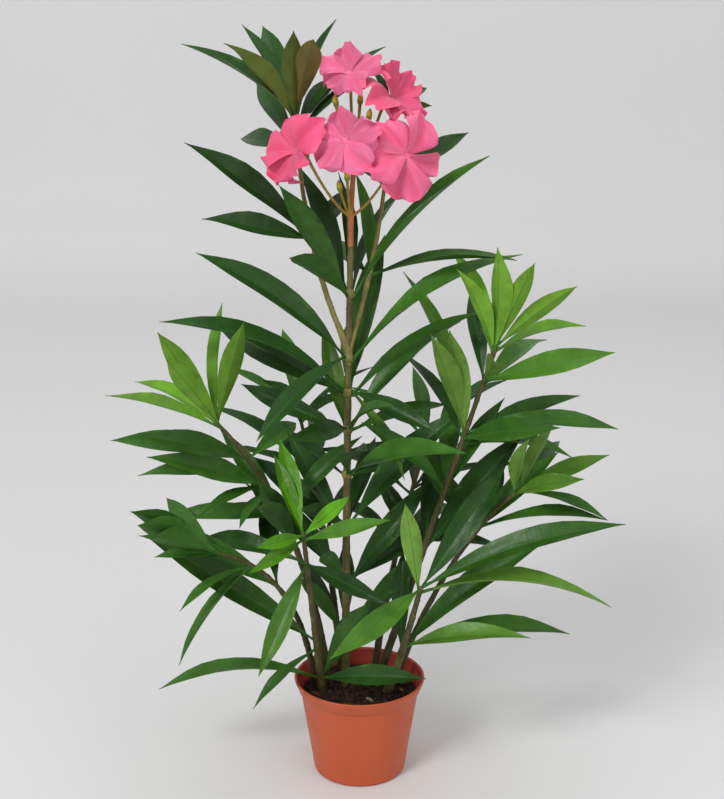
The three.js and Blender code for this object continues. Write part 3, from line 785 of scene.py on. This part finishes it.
class OLEANDER_OT_pot(Operator):
    """Build the moulded nursery pot"""

    bl_idname = "oleander.pot"
    bl_label = "Pot"
    bl_options = {"REGISTER", "UNDO"}

    def execute(self, context):
        settings = context.scene.oleander_pot
        piece = turned_piece("nursery_pot", pot_profile(settings.lip / MM), settings.sides)
        mesh = piece.data
        mesh.materials.append(pot_finish("pot_outside", tuple(settings.outside)))
        # The inner faces below the rim take the darker, redder inside colour: painted shade and painted
        # red bounce light.
        mesh.materials.append(pot_finish("pot_inside_painted_shade", tuple(settings.inside)))
        for face in mesh.polygons:
            inward = Vector((face.center.x, face.center.y, 0)).dot(face.normal) < 0
            face.material_index = int(inward and face.center.z < (POT["height"] - 2) * MM)
        settled(piece, "pot", "pot_plastic")
        return {"FINISHED"}


# The soil's roughness: height in metres and how fine, for the lumps and for the crumbs.
ROUGHNESS = [(0.0016, 60), (0.0012, 190)]
# How far the soil keeps off the pot's wall, off its rounded inner corner and off its floor.
WALL_GAP, CORNER_GAP, FLOOR_GAP = 0.1, 2.5, 0.2
# A chip's corners as (across, up), and where its sections stand along it.
CHIP_CORNERS = ((1, 0.6), (0.3, 1), (-1, 0.5), (-0.8, -0.7), (0.6, -1))
CHIP_SECTIONS = (-0.5, -0.1, 0.35, 0.5)
# How far chips keep off the soil's edge.
CHIP_MARGIN = 5


def soil_height(x, y):
    """The height of the soil's rough top over its mean, in metres."""
    place = Vector((x, y, 0.3))
    return sum(height * noise.noise(place * fine) for height, fine in ROUGHNESS)


class OLEANDER_OT_soil(Operator):
    """Build the potting mix and the bark chips on it"""

    bl_idname = "oleander.soil"
    bl_label = "Soil and chips"
    bl_options = {"REGISTER", "UNDO"}

    def execute(self, context):
        settings = context.scene.oleander_pot
        slope = (POT["body_radius"] - POT["foot_radius"]) / (POT["height"] - POT["band_height"] - 5)
        inner = POT["foot_radius"] - POT["wall"]
        radius = inner + slope * (SOIL_TOP - POT["foot_rounding"]) - WALL_GAP
        rings = [(radius * s, SOIL_TOP) for s in np.linspace(1, 0, 22)]
        base = POT["floor"] + FLOOR_GAP

        def roughen(vertex):
            if vertex.co.z > (SOIL_TOP - 1) * MM:
                vertex.co.z += soil_height(vertex.co.x, vertex.co.y)

        profile = [(0, base), (inner - CORNER_GAP, base), *rings]
        piece = turned_piece("potting_mix", profile, 96, roughen)
        tone = tuple(settings.soil)
        piece.data.materials.append(soil_finish("potting_mix_surface", tone, scaled(tone, 2.4)))
        settled(piece, "soil", "potting_mix")
        self.chips(settings, radius)
        return {"FINISHED"}

    def chips(self, settings, radius):
        """Scatters angular chips, with a few pale bits, clear of the wall."""
        draw = seeded(CHIP_SEED)
        cluster = Cluster()
        rows, sides = len(CHIP_SECTIONS), len(CHIP_CORNERS)
        for _ in range(settings.chips):
            reach, turn = (radius - CHIP_MARGIN) * math.sqrt(draw()), 2 * math.pi * draw()
            length = settings.chip_length / MM * (0.3 + 0.7 * draw() ** 2)
            x, y = reach * math.cos(turn), reach * math.sin(turn)
            lift = soil_height(x * MM, y * MM) / MM
            middle = np.array([x, y, SOIL_TOP + lift + 0.5 + 1.2 * draw()])
            way = heading(360 * draw(), 50 * (draw() - 0.5))
            side = unit(np.cross(way, heading(360 * draw(), 80)))
            up = np.cross(way, side)
            wide, thick = length * (0.22 + 0.3 * draw()), length * (0.08 + 0.12 * draw())
            rings = []
            for share in CHIP_SECTIONS:
                taper = 1 - abs(share) * 0.9
                rings.append([
                    middle + way * length * share
                    + side * wide * taper * a * (0.7 + 0.5 * draw())
                    + up * thick * taper * b * (0.7 + 0.6 * draw())
                    for a, b in CHIP_CORNERS
                ])
            luck = draw()
            kind = sum(luck >= limit for limit in CHIP_DRAWS)
            cluster.add(np.array(rings), [[kind] * sides] * rows, np.zeros((rows, sides, 2)), draw())
        tones = enumerate(CHIP_TONES)
        materials = [soil_finish(f"chip_{i}", tone, scaled(tone, 1.8)) for i, tone in tones]
        cluster.piece("bark_chips", materials, "soil", "potting_mix", 20)


# ---- trunk, stems and boughs -------------------------------------------------------------------

# The distance between a limb's rings, and a leaf scar's half width along the limb.
RING_STEP, SCAR_WIDTH = 2.4, 1.6
# How fine the bark's ridges are round the limb and along it, and their share of the relief.
RIDGES = [(2.2, 0.06, 1), (5, 0.35, 0.6)]
SCAR_RELIEF = 0.9


def limb_rings(name, start, end, settings, sides=16):
    """Rings round a stretch of a limb, with ridges and leaf scars in their relief."""
    line = LINES[name]
    rows = max(4, round((end - start) * line.length / RING_STEP))
    relief, spacing = settings.relief / MM, settings.node_spacing / MM
    rings = []
    for share in np.linspace(start, end, rows):
        point, way = line.point(share), line.way(share)
        side = unit(np.cross([0, 1, 0], way))
        up = np.cross(way, side)
        along = share * line.length
        scar = math.exp(-(((along / spacing) % 1 - 0.5) * spacing / SCAR_WIDTH) ** 2)
        ring = []
        for k in range(sides):
            a = 2 * math.pi * k / sides
            out = side * math.cos(a) + up * math.sin(a)
            rough = SCAR_RELIEF * scar
            for around, by_length, weight in RIDGES:
                height = along * by_length + len(name)
                place = Vector((math.cos(a) * around, math.sin(a) * around, height))
                rough += weight * noise.noise(place)
            ring.append(point + out * (limb_radius(name, share) + relief * rough))
        rings.append(ring)
    return np.array(rings)


def fork_rings(first, foot):
    """Rings that carry a bough down into the trunk below its fork."""
    trunk = LINES["trunk"]
    sunk = trunk.point(trunk.share_at(foot[2] - FORK_DROP)) - foot
    return [first + sunk * share for share in (1, 0.75, 0.5, 0.25)]


def tube_piece(name, rings, material, node, slot):
    """A limb's closed mesh, from a grid wrapped round its rings."""
    rows, sides = rings.shape[:2]
    shape = bmesh.new()
    bmesh.ops.create_grid(shape, x_segments=sides, y_segments=rows - 1, size=0.5)
    shape.verts.ensure_lookup_table()
    for vertex in shape.verts:
        k = round((vertex.co.x + 0.5) * sides) % sides
        j = round((vertex.co.y + 0.5) * (rows - 1))
        vertex.co = Vector(rings[j][k] * MM)
    bmesh.ops.remove_doubles(shape, verts=shape.verts, dist=1e-7)
    bmesh.ops.holes_fill(shape, edges=[e for e in shape.edges if e.is_boundary], sides=0)
    bmesh.ops.recalc_face_normals(shape, faces=shape.faces)
    mesh = smooth_mesh(shape, name, 60)
    mesh.materials.append(material)
    return settled(bpy.data.objects.new(name, mesh), node, slot)


class OLEANDER_OT_limbs(Operator):
    """Build the trunk, stems and boughs with their bark"""

    bl_idname = "oleander.limbs"
    bl_label = "Trunk, stems and boughs"
    bl_options = {"REGISTER", "UNDO"}

    def execute(self, context):
        settings = context.scene.oleander_bark
        stems = bark_finish("stem_bark", tuple(settings.old), tuple(settings.young))
        side = bark_finish("side_bark", scaled(settings.old, 0.42), scaled(settings.young, 0.35))
        young = bark_finish("young_bark", tuple(settings.young), scaled(settings.young, 1.5))
        for name, line in LINES.items():
            if name == "trunk":
                rings = limb_rings(name, line.share_at(BARK_FOOT), 1, settings)
                tube_piece("bark_trunk", rings, stems, "trunk", "stem_bark")
            elif name.startswith("top_"):
                rings = limb_rings(name, 0, SHOOTS[name][0], settings)
                rings = np.concatenate([fork_rings(rings[0], line.point(0)), rings])
                tube_piece("bark_bough_" + name, rings, young, "bough_" + name, "stem_bark")
            else:
                rings = limb_rings(name, line.share_at(BARK_FOOT), SHOOTS[name][0], settings)
                bark = stems if name == "front_right" else side
                tube_piece("bark_stem_" + name, rings, bark, "stem_" + name, "stem_bark")
        return {"FINISHED"}


# ---- leaves ------------------------------------------------------------------------------------

# A leaf's section as (across, up): its margins, the middles of its halves and the midrib's sides.
SECTION = [
    (-1, 1), (-0.52, 1), (-0.02, 1), (0.02, 1), (0.52, 1),
    (1, 0), (0.52, -1), (0.02, -1), (-0.02, -1), (-0.52, -1),
]
# The material of each side of the section: a tint's upper face, underside or midrib.
SECTION_KINDS = [0, 0, 2, 0, 0, 1, 1, 2, 1, 1]
SHARES = np.array([0, 0.035, 0.07, 0.12, 0.2, 0.3, 0.41, 0.52, 0.63, 0.73, 0.82, 0.9, 0.96, 1])
# Width as a share of the length, with the narrowest and the widest leaf.
LEAF_WIDTH, NARROWEST, WIDEST = 0.185, 14, 29
# The arch of an upright leaf as a share of its length, and what a level one of the full length adds.
ARCH, LEVEL_ARCH, FULL_LENGTH = 0.08, 0.24, 150
# The most that a leaf twists, in degrees, and where along it the roll is as planned.
TWIST, TWIST_FROM = 34, 0.3
# The share that is stalk, and the stalk's half width, which thins towards the tip.
STALK, STALK_ROOT, STALK_TIP = 0.07, 1.25, 0.12
# The midrib's groove on top and its drop under the blade, at the root.
GROOVE, DROP = 0.18, 0.55
# The margins' wave in radians: along the leaf, its uneven part, its start and across the leaf.
WAVE_ALONG, WAVE_UNEVEN, WAVE_START, WAVE_ACROSS = 7.5, 0.3, 6.28, 1.6


def add_leaf(cluster, root, plan, luck, tint, settings):
    """Adds one leaf from its root: folded up along the midrib, arched, and drawn to a point."""
    turn, rise, length, roll = plan
    broad, bent = luck
    width = min(WIDEST, max(NARROWEST, length * LEAF_WIDTH)) * (0.94 + 0.12 * broad)
    bow = ARCH + LEVEL_ARCH * math.cos(math.radians(rise)) * (length / FULL_LENGTH)
    arch = length * bow * (0.75 + 0.5 * bent)
    along = heading(turn, rise)
    up = turned(heading(turn, rise + 90), along, roll)
    side = np.cross(along, up)
    thick = settings.thickness / MM / 2
    rib = settings.rib / MM / 2
    fold = math.tan(settings.fold)
    twist = TWIST * (bent - broad)
    rings, kinds, places = [], [], []
    base_kind = 3 * list(TINTS).index(tint)
    for share in SHARES:
        blade = max(0, (share - STALK) / (1 - STALK))
        outline = 0.98 * width / 2 * math.sin(math.pi * blade**1.05) ** lerp(0.72, 1.15, share)
        stalk = STALK_ROOT * (1 - share) + STALK_TIP
        half = max(outline, stalk)
        core = max(thick, stalk * (1 - 4.5 * share) * 0.9)
        turn_here = math.radians(twist * (share - TWIST_FROM))
        wide = side * math.cos(turn_here) + up * math.sin(turn_here)
        tall = up * math.cos(turn_here) - side * math.sin(turn_here)
        middle = root + along * length * share + up * arch * share * (1 - share)
        phase = WAVE_ALONG * share * (1 + WAVE_UNEVEN * broad) + WAVE_START * bent
        ring = []
        for x, z in SECTION:
            on_rib = abs(x) < 0.1
            across = math.copysign(rib, x) * (1 - 0.6 * share) if on_rib else x * half
            sunk = (GROOVE if z > 0 else DROP) * (1 - share) if on_rib else 0
            wave = settings.wave * abs(across) * math.sin(phase + WAVE_ACROSS * x)
            ring.append(middle + tall * (abs(across) * fold + z * core - sunk + wave) + wide * across)
        rings.append(ring)
        kinds.append([base_kind + (2 if share < STALK else kind) for kind in SECTION_KINDS])
        places.append([((x + 1) / 2, share) for x, _ in SECTION])
    cluster.add(np.array(rings), kinds, np.array(places), 0.5 * (broad + bent))


def whorl_leaves(leaves, draw):
    """A whorl's own leaves, or its count of them spread over its sweep with a seeded stagger."""
    if isinstance(leaves, list):
        return leaves
    return [
        (
            leaves["turn"] + leaves["sweep"] / (leaves["count"] - 1) * i + 24 * (draw() - 0.5),
            leaves["rise"] + 20 * (draw() - 0.5),
            leaves["length"] * (0.85 + 0.3 * draw()),
            40 * (draw() - 0.5),
        )
        for i in range(leaves["count"])
    ]


# The slot of each shoot's leaves. The rest are leaf_dark.
SLOTS = {
    "left": "leaf_light",
    "right": "leaf_light",
    "low_left": "leaf_green",
    "front_left": "leaf_green",
    "mid_right": "leaf_green",
    "front_right": "leaf_green",
}


class OLEANDER_OT_leaves(Operator):
    """Build every shoot's twig and leaves, and the whorls on the trunk"""

    bl_idname = "oleander.leaves"
    bl_label = "Twigs and leaves"
    bl_options = {"REGISTER", "UNDO"}

    def execute(self, context):
        scene = context.scene
        bark = scene.oleander_bark
        materials = leaf_materials()
        twig_bark = bark_finish("twig_bark", scaled(bark.young, 0.4), scaled(bark.young, 0.8))
        node_skin = bark_finish("node_skin", tuple(bark.young), scaled(bark.young, 1.6))
        for seed, (name, (start, whorls)) in enumerate(SHOOTS.items(), 1):
            twig = node_skin if name.startswith("top_") else twig_bark
            self.shoot(name, start, whorls, seed, scene, materials, twig)
        for i, whorl in enumerate(TRUNK_WHORLS, 1):
            self.trunk_whorl(i, whorl, len(SHOOTS) + i, scene, materials, node_skin)
        return {"FINISHED"}

    def add(self, cluster, root, leaf, draw, tint, scene):
        """Adds a leaf in its own tint or its whorl's."""
        own = leaf[4] if len(leaf) > 4 else tint
        add_leaf(cluster, root, leaf[:4], (draw(), draw()), own, scene.oleander_leaves)

    def shoot(self, name, start, whorls, seed, scene, materials, bark):
        """The leafy end of a limb."""
        draw = seeded(seed)
        line = LINES[name]
        cluster = Cluster()
        for at, tint, leaves in whorls:
            for i, leaf in enumerate(whorl_leaves(leaves, draw)):
                share = at - (NODE_STEP * (i // NODE_LEAVES) + FIRST_NODE) / line.length
                root = line.point(share) + heading(leaf[0], 0) * ROOT_OUT
                self.add(cluster, root, leaf, draw, tint, scene)
        node = "leaves_" + name
        cluster.piece("foliage_" + name, materials, node, SLOTS.get(name, "leaf_dark"))
        rings = limb_rings(name, start, 1, scene.oleander_bark, 12)
        tip = line.point(1) + line.way(1) * TWIG_END
        bud = np.array([lerp(rings[-1], tip, s) for s in (0.35, 0.7, 0.95)])
        tube_piece("twig_" + name, np.concatenate([rings, bud]), bark, node, "stem_bark")

    def trunk_whorl(self, number, whorl, seed, scene, materials, node_skin):
        """A whorl of leaves on a node of the trunk."""
        draw = seeded(seed)
        height, tint, leaves = whorl
        line = LINES["trunk"]
        share = line.share_at(height)
        middle = line.point(share)
        trunk = lerp(*LIMBS["trunk"][3], share)
        cluster = Cluster()
        for i, leaf in enumerate(leaves):
            root = middle + heading(leaf[0], 0) * (trunk + GAP + COLLAR_WALL / 2)
            root[2] += 2 - 4 * (i % 2)
            self.add(cluster, root, leaf, draw, tint, scene)
        node = f"leaves_trunk_{number}"
        cluster.piece(f"foliage_trunk_{number}", materials, node, "leaf_dark")
        ring = Cluster()
        heights = np.linspace(-1, 1, 9)
        rise, swell, sunk = SWELLING["half_height"], SWELLING["swell"], SWELLING["sunk"]
        points = [middle + np.array([0, 0, rise * h]) for h in heights]
        radii = [trunk - sunk + swell * math.sqrt(max(0, 1 - h * h)) for h in heights]
        add_rod(ring, points, radii, 0, 16)
        ring.piece(f"node_trunk_{number}", [node_skin], node, "stem_bark")


# ---- flower head -------------------------------------------------------------------------------

PETAL_ROWS = 13
PETAL_COLUMNS = [float(x) for x in np.linspace(-1, 1, 17)[1:-1]]
PETAL_SECTION = [
    (-1, 0), *[(x, 1) for x in PETAL_COLUMNS],
    (1, 0), *[(x, -1) for x in PETAL_COLUMNS[::-1]],
]
# Half width and cup of the leanest and the fullest petal, as shares of the length.
PETAL_BREADTH, PETAL_CUP = (0.44, 0.54), (0.26, 0.5)
# How steeply a petal's sides rise at its foot and at its tip.
PETAL_SIDES = (0.28, 0.05)
# How far the tip bows in, or out, as a share of the length.
PETAL_BOW = (0.22, -0.34)
# A petal's mean roll and the spread of it, in degrees.
PETAL_ROLL, PETAL_ROLL_UNEVEN = 7, 38
# The edge as a share of the length: about that at the sides, and what its middle adds.
EDGE_SIDES, EDGE_MIDDLE = 0.6, 0.38
# The edge's scallops: depth as a share of the length, and radians across half the petal.
SCALLOPS = [(0.035, 4), (0.016, 9)]
# Depth of the crease down the middle, in millimetres.
CREASE = 1.6
# Turns of a flower's five petals and a calyx's five sepals, in degrees.
FIFTHS = [72 * i for i in range(5)]


def stalk_points(start, end):
    """A side stalk's line, which leaves low and turns up."""
    bend = lerp(start, end, 0.45)
    bend[2] -= np.linalg.norm(end - start) * 0.18
    return [(1 - t) ** 2 * start + 2 * t * (1 - t) * bend + t * t * end for t in np.linspace(0, 1, 9)]


def add_petal(cluster, throat, facing, outward, length, lean, luck, kind, settings):
    """Adds a petal that leaves the throat, opens outwards and ends in a broad ruffled edge."""
    a = math.radians(lean)
    other = 7.3 * luck % 1
    along = outward * math.sin(a) + facing * math.cos(a)
    roll = PETAL_ROLL + PETAL_ROLL_UNEVEN * (other - 0.5)
    inward = turned(facing * math.sin(a) - outward * math.cos(a), along, roll)
    side = np.cross(along, inward)
    thick = settings.thickness / MM / 2
    ruffle = settings.ruffle * length
    bow, breadth, cup = lerp(*PETAL_BOW, luck), lerp(*PETAL_BREADTH, other), lerp(*PETAL_CUP, other)
    phases = (9 * luck, 15 * other)
    rings, places = [], []
    for share in np.linspace(0, 1, PETAL_ROWS):
        half = length * breadth * math.sin(math.pi * (0.04 + 0.68 * share**1.35))
        ring = []
        for x, z in PETAL_SECTION:
            edge = EDGE_SIDES + EDGE_MIDDLE * math.sqrt(1 - 0.97 * x * x)
            for (depth, lobes), phase in zip(SCALLOPS, phases):
                edge += depth * math.cos(lobes * x + phase)
            reach = length * share * lerp(1, edge, share**2)
            height = cup * length * share * (1 - share) + abs(x) * half * lerp(*PETAL_SIDES, share)
            height += ruffle * share**1.6 * math.sin(4.2 * x + 12 * luck)
            height += 0.75 * ruffle * share**3 * math.sin(9 * x + 17 * luck + 3 * share)
            height -= CREASE * (1 - abs(x)) ** 4 * share * (1 - share) * 4
            height += bow * length * share**3 + z * thick
            ring.append(throat + along * reach + inward * height + side * x * half)
        rings.append(ring)
        places.append([((x + 1) / 2, share) for x, _ in PETAL_SECTION])
    cluster.add(np.array(rings), [[kind] * len(PETAL_SECTION)] * PETAL_ROWS, np.array(places), luck)


def add_spindle(cluster, foot, way, length, radius_at, kind, sides, rows=7):
    """Adds a round body along a line, with its radius by share of the length."""
    shares = np.linspace(0, 1, rows)
    middles = [foot + way * length * s for s in shares]
    add_tube(cluster, middles, [way] * rows, [radius_at(s) for s in shares], kind, sides)


def add_sepals(cluster, foot, way, radius, length):
    """Adds the five small points of a calyx."""
    out = unit(np.cross(way, [0.3, 0.8, 0.5]))
    for angle in FIFTHS:
        spread = turned(out, way, angle)
        points = [foot + spread * radius * (0.7 + 0.7 * s) + way * length * s for s in (0, 0.35, 0.7, 1)]
        add_rod(cluster, points, [0.9, 0.85, 0.55, 0.1], 0, 6)


class OLEANDER_OT_flower_head(Operator):
    """Build the flower stalk, side stalks, buds and flowers"""

    bl_idname = "oleander.flower_head"
    bl_label = "Flower head"
    bl_options = {"REGISTER", "UNDO"}

    def execute(self, context):
        settings = context.scene.oleander_flowers
        self.stalks, self.buds, self.calyx = Cluster(), Cluster(), Cluster()
        self.petals, self.throats = Cluster(), Cluster()
        self.main_stalk()
        for number, flower in enumerate(HEAD["flowers"]):
            self.flower(number, flower, settings)
        for bud in HEAD["buds"]:
            self.bud(*bud)
        stalk = stalk_finish("flower_stalk", tuple(settings.stalk))
        side = stalk_finish("side_stalk", tuple(settings.side_stalk))
        green = stalk_finish("calyx_green", CALYX_GREEN)
        bud = bud_finish("bud_skin", tuple(settings.bud))
        tints = [petal_finish("petal_" + name, *pair) for name, pair in PETAL_TINTS.items()]
        self.stalks.piece("flower_stalks", [stalk, side], "flower_head", "stem_bark")
        self.calyx.piece("calyxes", [green], "flower_head", "stem_bark")
        self.buds.piece("flower_buds", [bud], "flower_head", "flower_pink")
        self.throats.piece("flower_throats", tints, "flower_head", "flower_pink")
        self.petals.piece("flower_petals", tints, "flower_head", "flower_pink", 70)
        return {"FINISHED"}

    def main_stalk(self):
        """The stalk up through both forks, with a small swelling at each."""
        foot, low, high = (np.array(p, float) for p in (HEAD["foot"], *HEAD["forks"]))
        neck = [lerp(low, high, s) for s in (0.3, 0.7)]
        points = [foot, lerp(foot, low, 0.5), low, *neck, high, high + [0, 0, 2]]
        radii = [HEAD["stalk_radius"] * s for s in (1, 0.93, 1.12, 0.88, 0.82, 0.95, 0.4)]
        add_rod(self.stalks, points, radii, 0, 14)

    def side_stalk(self, fork, end):
        """A side stalk from a fork, thicker at both ends."""
        start = np.array(HEAD["forks"][fork], float)
        points = stalk_points(start, end)
        radius = HEAD["side_radius"]
        radii = [radius * (1.25 - 0.9 * s * (1 - s)) for s in np.linspace(0, 1, len(points))]
        add_rod(self.stalks, points, radii, 1, 8)

    def flower(self, number, flower, settings):
        """One flower: its tube, crown, petals and calyx."""
        fork, throat, turn, rise, petal, lean, spin, tint = flower
        facing = heading(turn, rise)
        middle = np.array(throat, float)
        tube = HEAD["tube_length"]
        foot = middle - facing * tube
        kind = list(PETAL_TINTS).index(tint)
        draw, ruffles = seeded(FLOWER_SEED + number), seeded(RUFFLE_SEED + number)
        self.side_stalk(fork, foot + facing * HEAD["joined"])
        add_sepals(self.calyx, foot, facing, *HEAD["sepals"])
        add_spindle(self.calyx, foot - facing, facing, 3, lambda s: 1.4 + 1.2 * s, 0, 8, 3)
        low, high = HEAD["tube_radii"]
        add_spindle(self.throats, foot, facing, tube + 2, lambda s: lerp(low, high, s**2), kind, 12)
        longer, leaning, further = PETALS_UNEVEN
        for angle in FIFTHS:
            length = petal * (1 + longer * (draw() - 0.5))
            open_by = lean + leaning * (draw() - 0.5)
            around = spin + angle + further * (draw() - 0.5)
            outward = turned(heading(turn, rise + 90), facing, around)
            add_petal(self.petals, middle, facing, outward, length, open_by, ruffles(), kind, settings)
            self.fringe(middle, facing, turned(outward, facing, 8), kind)

    def fringe(self, throat, facing, outward, kind):
        """Three short threads at a petal's foot, the middle one the longest."""
        for j in (-1, 0, 1):
            spread = turned(outward, facing, 16 * j)
            points = [
                throat + spread * (1.4 + 2.6 * s) + facing * (0.6 + (2.6 - abs(j)) * s)
                for s in (0, 0.4, 0.8, 1)
            ]
            add_rod(self.throats, points, [0.8, 0.7, 0.4, 0.15], kind, 6)

    def bud(self, fork, middle):
        """A bud on its stalk, with its calyx."""
        start, middle = np.array(HEAD["forks"][fork], float), np.array(middle, float)
        length, swell = HEAD["bud_length"], HEAD["bud_radius"]
        way = unit(lerp(unit(middle - start), np.array([0, 0, 1.0]), 0.5))
        foot = middle - way * length / 2

        def radius_at(share):
            return swell * math.sin(math.pi * (0.1 + 0.87 * share**1.2))

        self.side_stalk(fork, foot + way * HEAD["joined"])
        add_spindle(self.buds, foot, way, length, radius_at, 0, 12, 10)
        add_sepals(self.calyx, foot + way * 0.5, way, *HEAD["bud_sepals"])


# ---- stage -------------------------------------------------------------------------------------

# Each light's name, place, aim, width and power, in metres and watts.
LIGHTS = [
    ("key_light", (-2.2, -3.2, 3.7), (0, 0, 0.35), 1.4, 128),
    ("fill_light", (1.7, -1.5, 1.4), (0, 0, 0.35), 1.6, 9),
    ("top_light", (0.2, 0.3, 2.6), (0, 0, 0.3), 1.8, 9),
]
# Strength of the even light from all round.
AIR = 0.54
# The camera's place in metres, its tilt down in degrees, its focal length as a share of the longer
# side of the frame, and its sensor's width in millimetres.
CAMERA_PLACE, CAMERA_TILT, CAMERA_REACH, SENSOR = (0.0025, -1.362, 0.785), 16.3, 1500 / 799, 36
# The floor in metres: its half width, its reach in front, its bend's radius and the wall's height.
FLOOR = {"half_width": 6, "front": 3.2, "bend": 0.3, "wall": 4.5}


def area_light(name, place, aim, size, power):
    """A soft square light aimed at a point."""
    light = bpy.data.lights.new(name, "AREA")
    light.shape = "SQUARE"
    light.size = size
    light.energy = power
    lamp = bpy.data.objects.new(name, light)
    lamp.location = place
    lamp.rotation_euler = (Vector(aim) - Vector(place)).to_track_quat("-Z", "Y").to_euler()
    bpy.context.scene.collection.objects.link(lamp)


class OLEANDER_OT_stage(Operator):
    """Set the pale floor, the soft lights and the camera"""

    bl_idname = "oleander.stage"
    bl_label = "Stage"
    bl_options = {"REGISTER", "UNDO"}

    def execute(self, context):
        scene = context.scene
        self.backdrop(scene.oleander_stage)
        world = bpy.data.worlds.new("studio_air")
        world.use_nodes = True
        air = world.node_tree.nodes["Background"].inputs
        air["Color"].default_value = (1, 1, 1, 1)
        air["Strength"].default_value = AIR
        scene.world = world
        for light in LIGHTS:
            area_light(*light)
        camera = bpy.data.cameras.new("camera")
        camera.lens = SENSOR * CAMERA_REACH
        holder = bpy.data.objects.new("camera", camera)
        holder.location = CAMERA_PLACE
        holder.rotation_euler = (math.radians(90 - CAMERA_TILT), 0, 0)
        scene.collection.objects.link(holder)
        scene.camera = holder
        scene.view_settings.view_transform = "Standard"
        return {"FINISHED"}

    def backdrop(self, settings):
        """A floor that curves up into a backdrop behind the plant."""
        shape = bmesh.new()
        bmesh.ops.create_grid(shape, x_segments=1, y_segments=60, size=1)
        bend, front, back = FLOOR["bend"], FLOOR["front"], settings.depth
        flat, curve = front + back, bend * math.pi / 2
        for vertex in shape.verts:
            x = vertex.co.x * FLOOR["half_width"]
            along = (vertex.co.y + 1) / 2 * (flat + curve + FLOOR["wall"])
            if along <= flat:
                vertex.co = (x, along - front, 0)
            elif along <= flat + curve:
                a = (along - flat) / bend
                vertex.co = (x, back + bend * math.sin(a), bend - bend * math.cos(a))
            else:
                vertex.co = (x, back + bend, bend + along - flat - curve)
        mesh = smooth_mesh(shape, "floor")
        paper = Finish("paper", 0.85, 0.2)
        base = tuple(settings.floor)
        stops = [(0.3, scaled(base, 0.985)), (0.7, base)]
        paper.colour(paper.ramp(paper.noise(paper.place(), 1.2, 2), stops))
        mesh.materials.append(paper.material)
        floor = bpy.data.objects.new("floor", mesh)
        bpy.context.scene.collection.objects.link(floor)


# ---- add-on ------------------------------------------------------------------------------------


class OLEANDER_PT_panel(Panel):
    """The oleander's settings and steps"""

    bl_idname = "OLEANDER_PT_panel"
    bl_label = "Potted oleander"
    bl_space_type = "VIEW_3D"
    bl_region_type = "UI"
    bl_category = "Oleander"

    def draw(self, context):
        scene = context.scene
        groups = [
            (scene.oleander_pot, ["oleander.pot", "oleander.soil"]),
            (scene.oleander_bark, ["oleander.limbs"]),
            (scene.oleander_leaves, ["oleander.leaves"]),
            (scene.oleander_flowers, ["oleander.flower_head"]),
            (scene.oleander_stage, ["oleander.stage"]),
        ]
        for settings, steps in groups:
            box = self.layout.box()
            for name in type(settings).__annotations__:
                box.prop(settings, name)
            for step in steps:
                box.operator(step)


GROUPS = {
    "oleander_pot": OleanderPot,
    "oleander_bark": OleanderBark,
    "oleander_leaves": OleanderLeaves,
    "oleander_flowers": OleanderFlowers,
    "oleander_stage": OleanderStage,
}

OPERATORS = [
    OLEANDER_OT_pot,
    OLEANDER_OT_soil,
    OLEANDER_OT_limbs,
    OLEANDER_OT_leaves,
    OLEANDER_OT_flower_head,
    OLEANDER_OT_stage,
]


def register():
    for cls in (*GROUPS.values(), *OPERATORS, OLEANDER_PT_panel):
        bpy.utils.register_class(cls)
    for name, group in GROUPS.items():
        setattr(bpy.types.Scene, name, PointerProperty(type=group))


def unregister():
    for name in GROUPS:
        delattr(bpy.types.Scene, name)
    for cls in reversed((*GROUPS.values(), *OPERATORS, OLEANDER_PT_panel)):
        bpy.utils.unregister_class(cls)


def main():
    """Builds the plant and its stage."""
    register()
    bpy.ops.oleander.pot()
    bpy.ops.oleander.soil()
    bpy.ops.oleander.limbs()
    bpy.ops.oleander.leaves()
    bpy.ops.oleander.flower_head()
    bpy.ops.oleander.stage()


if __name__ == "__main__":
    main()
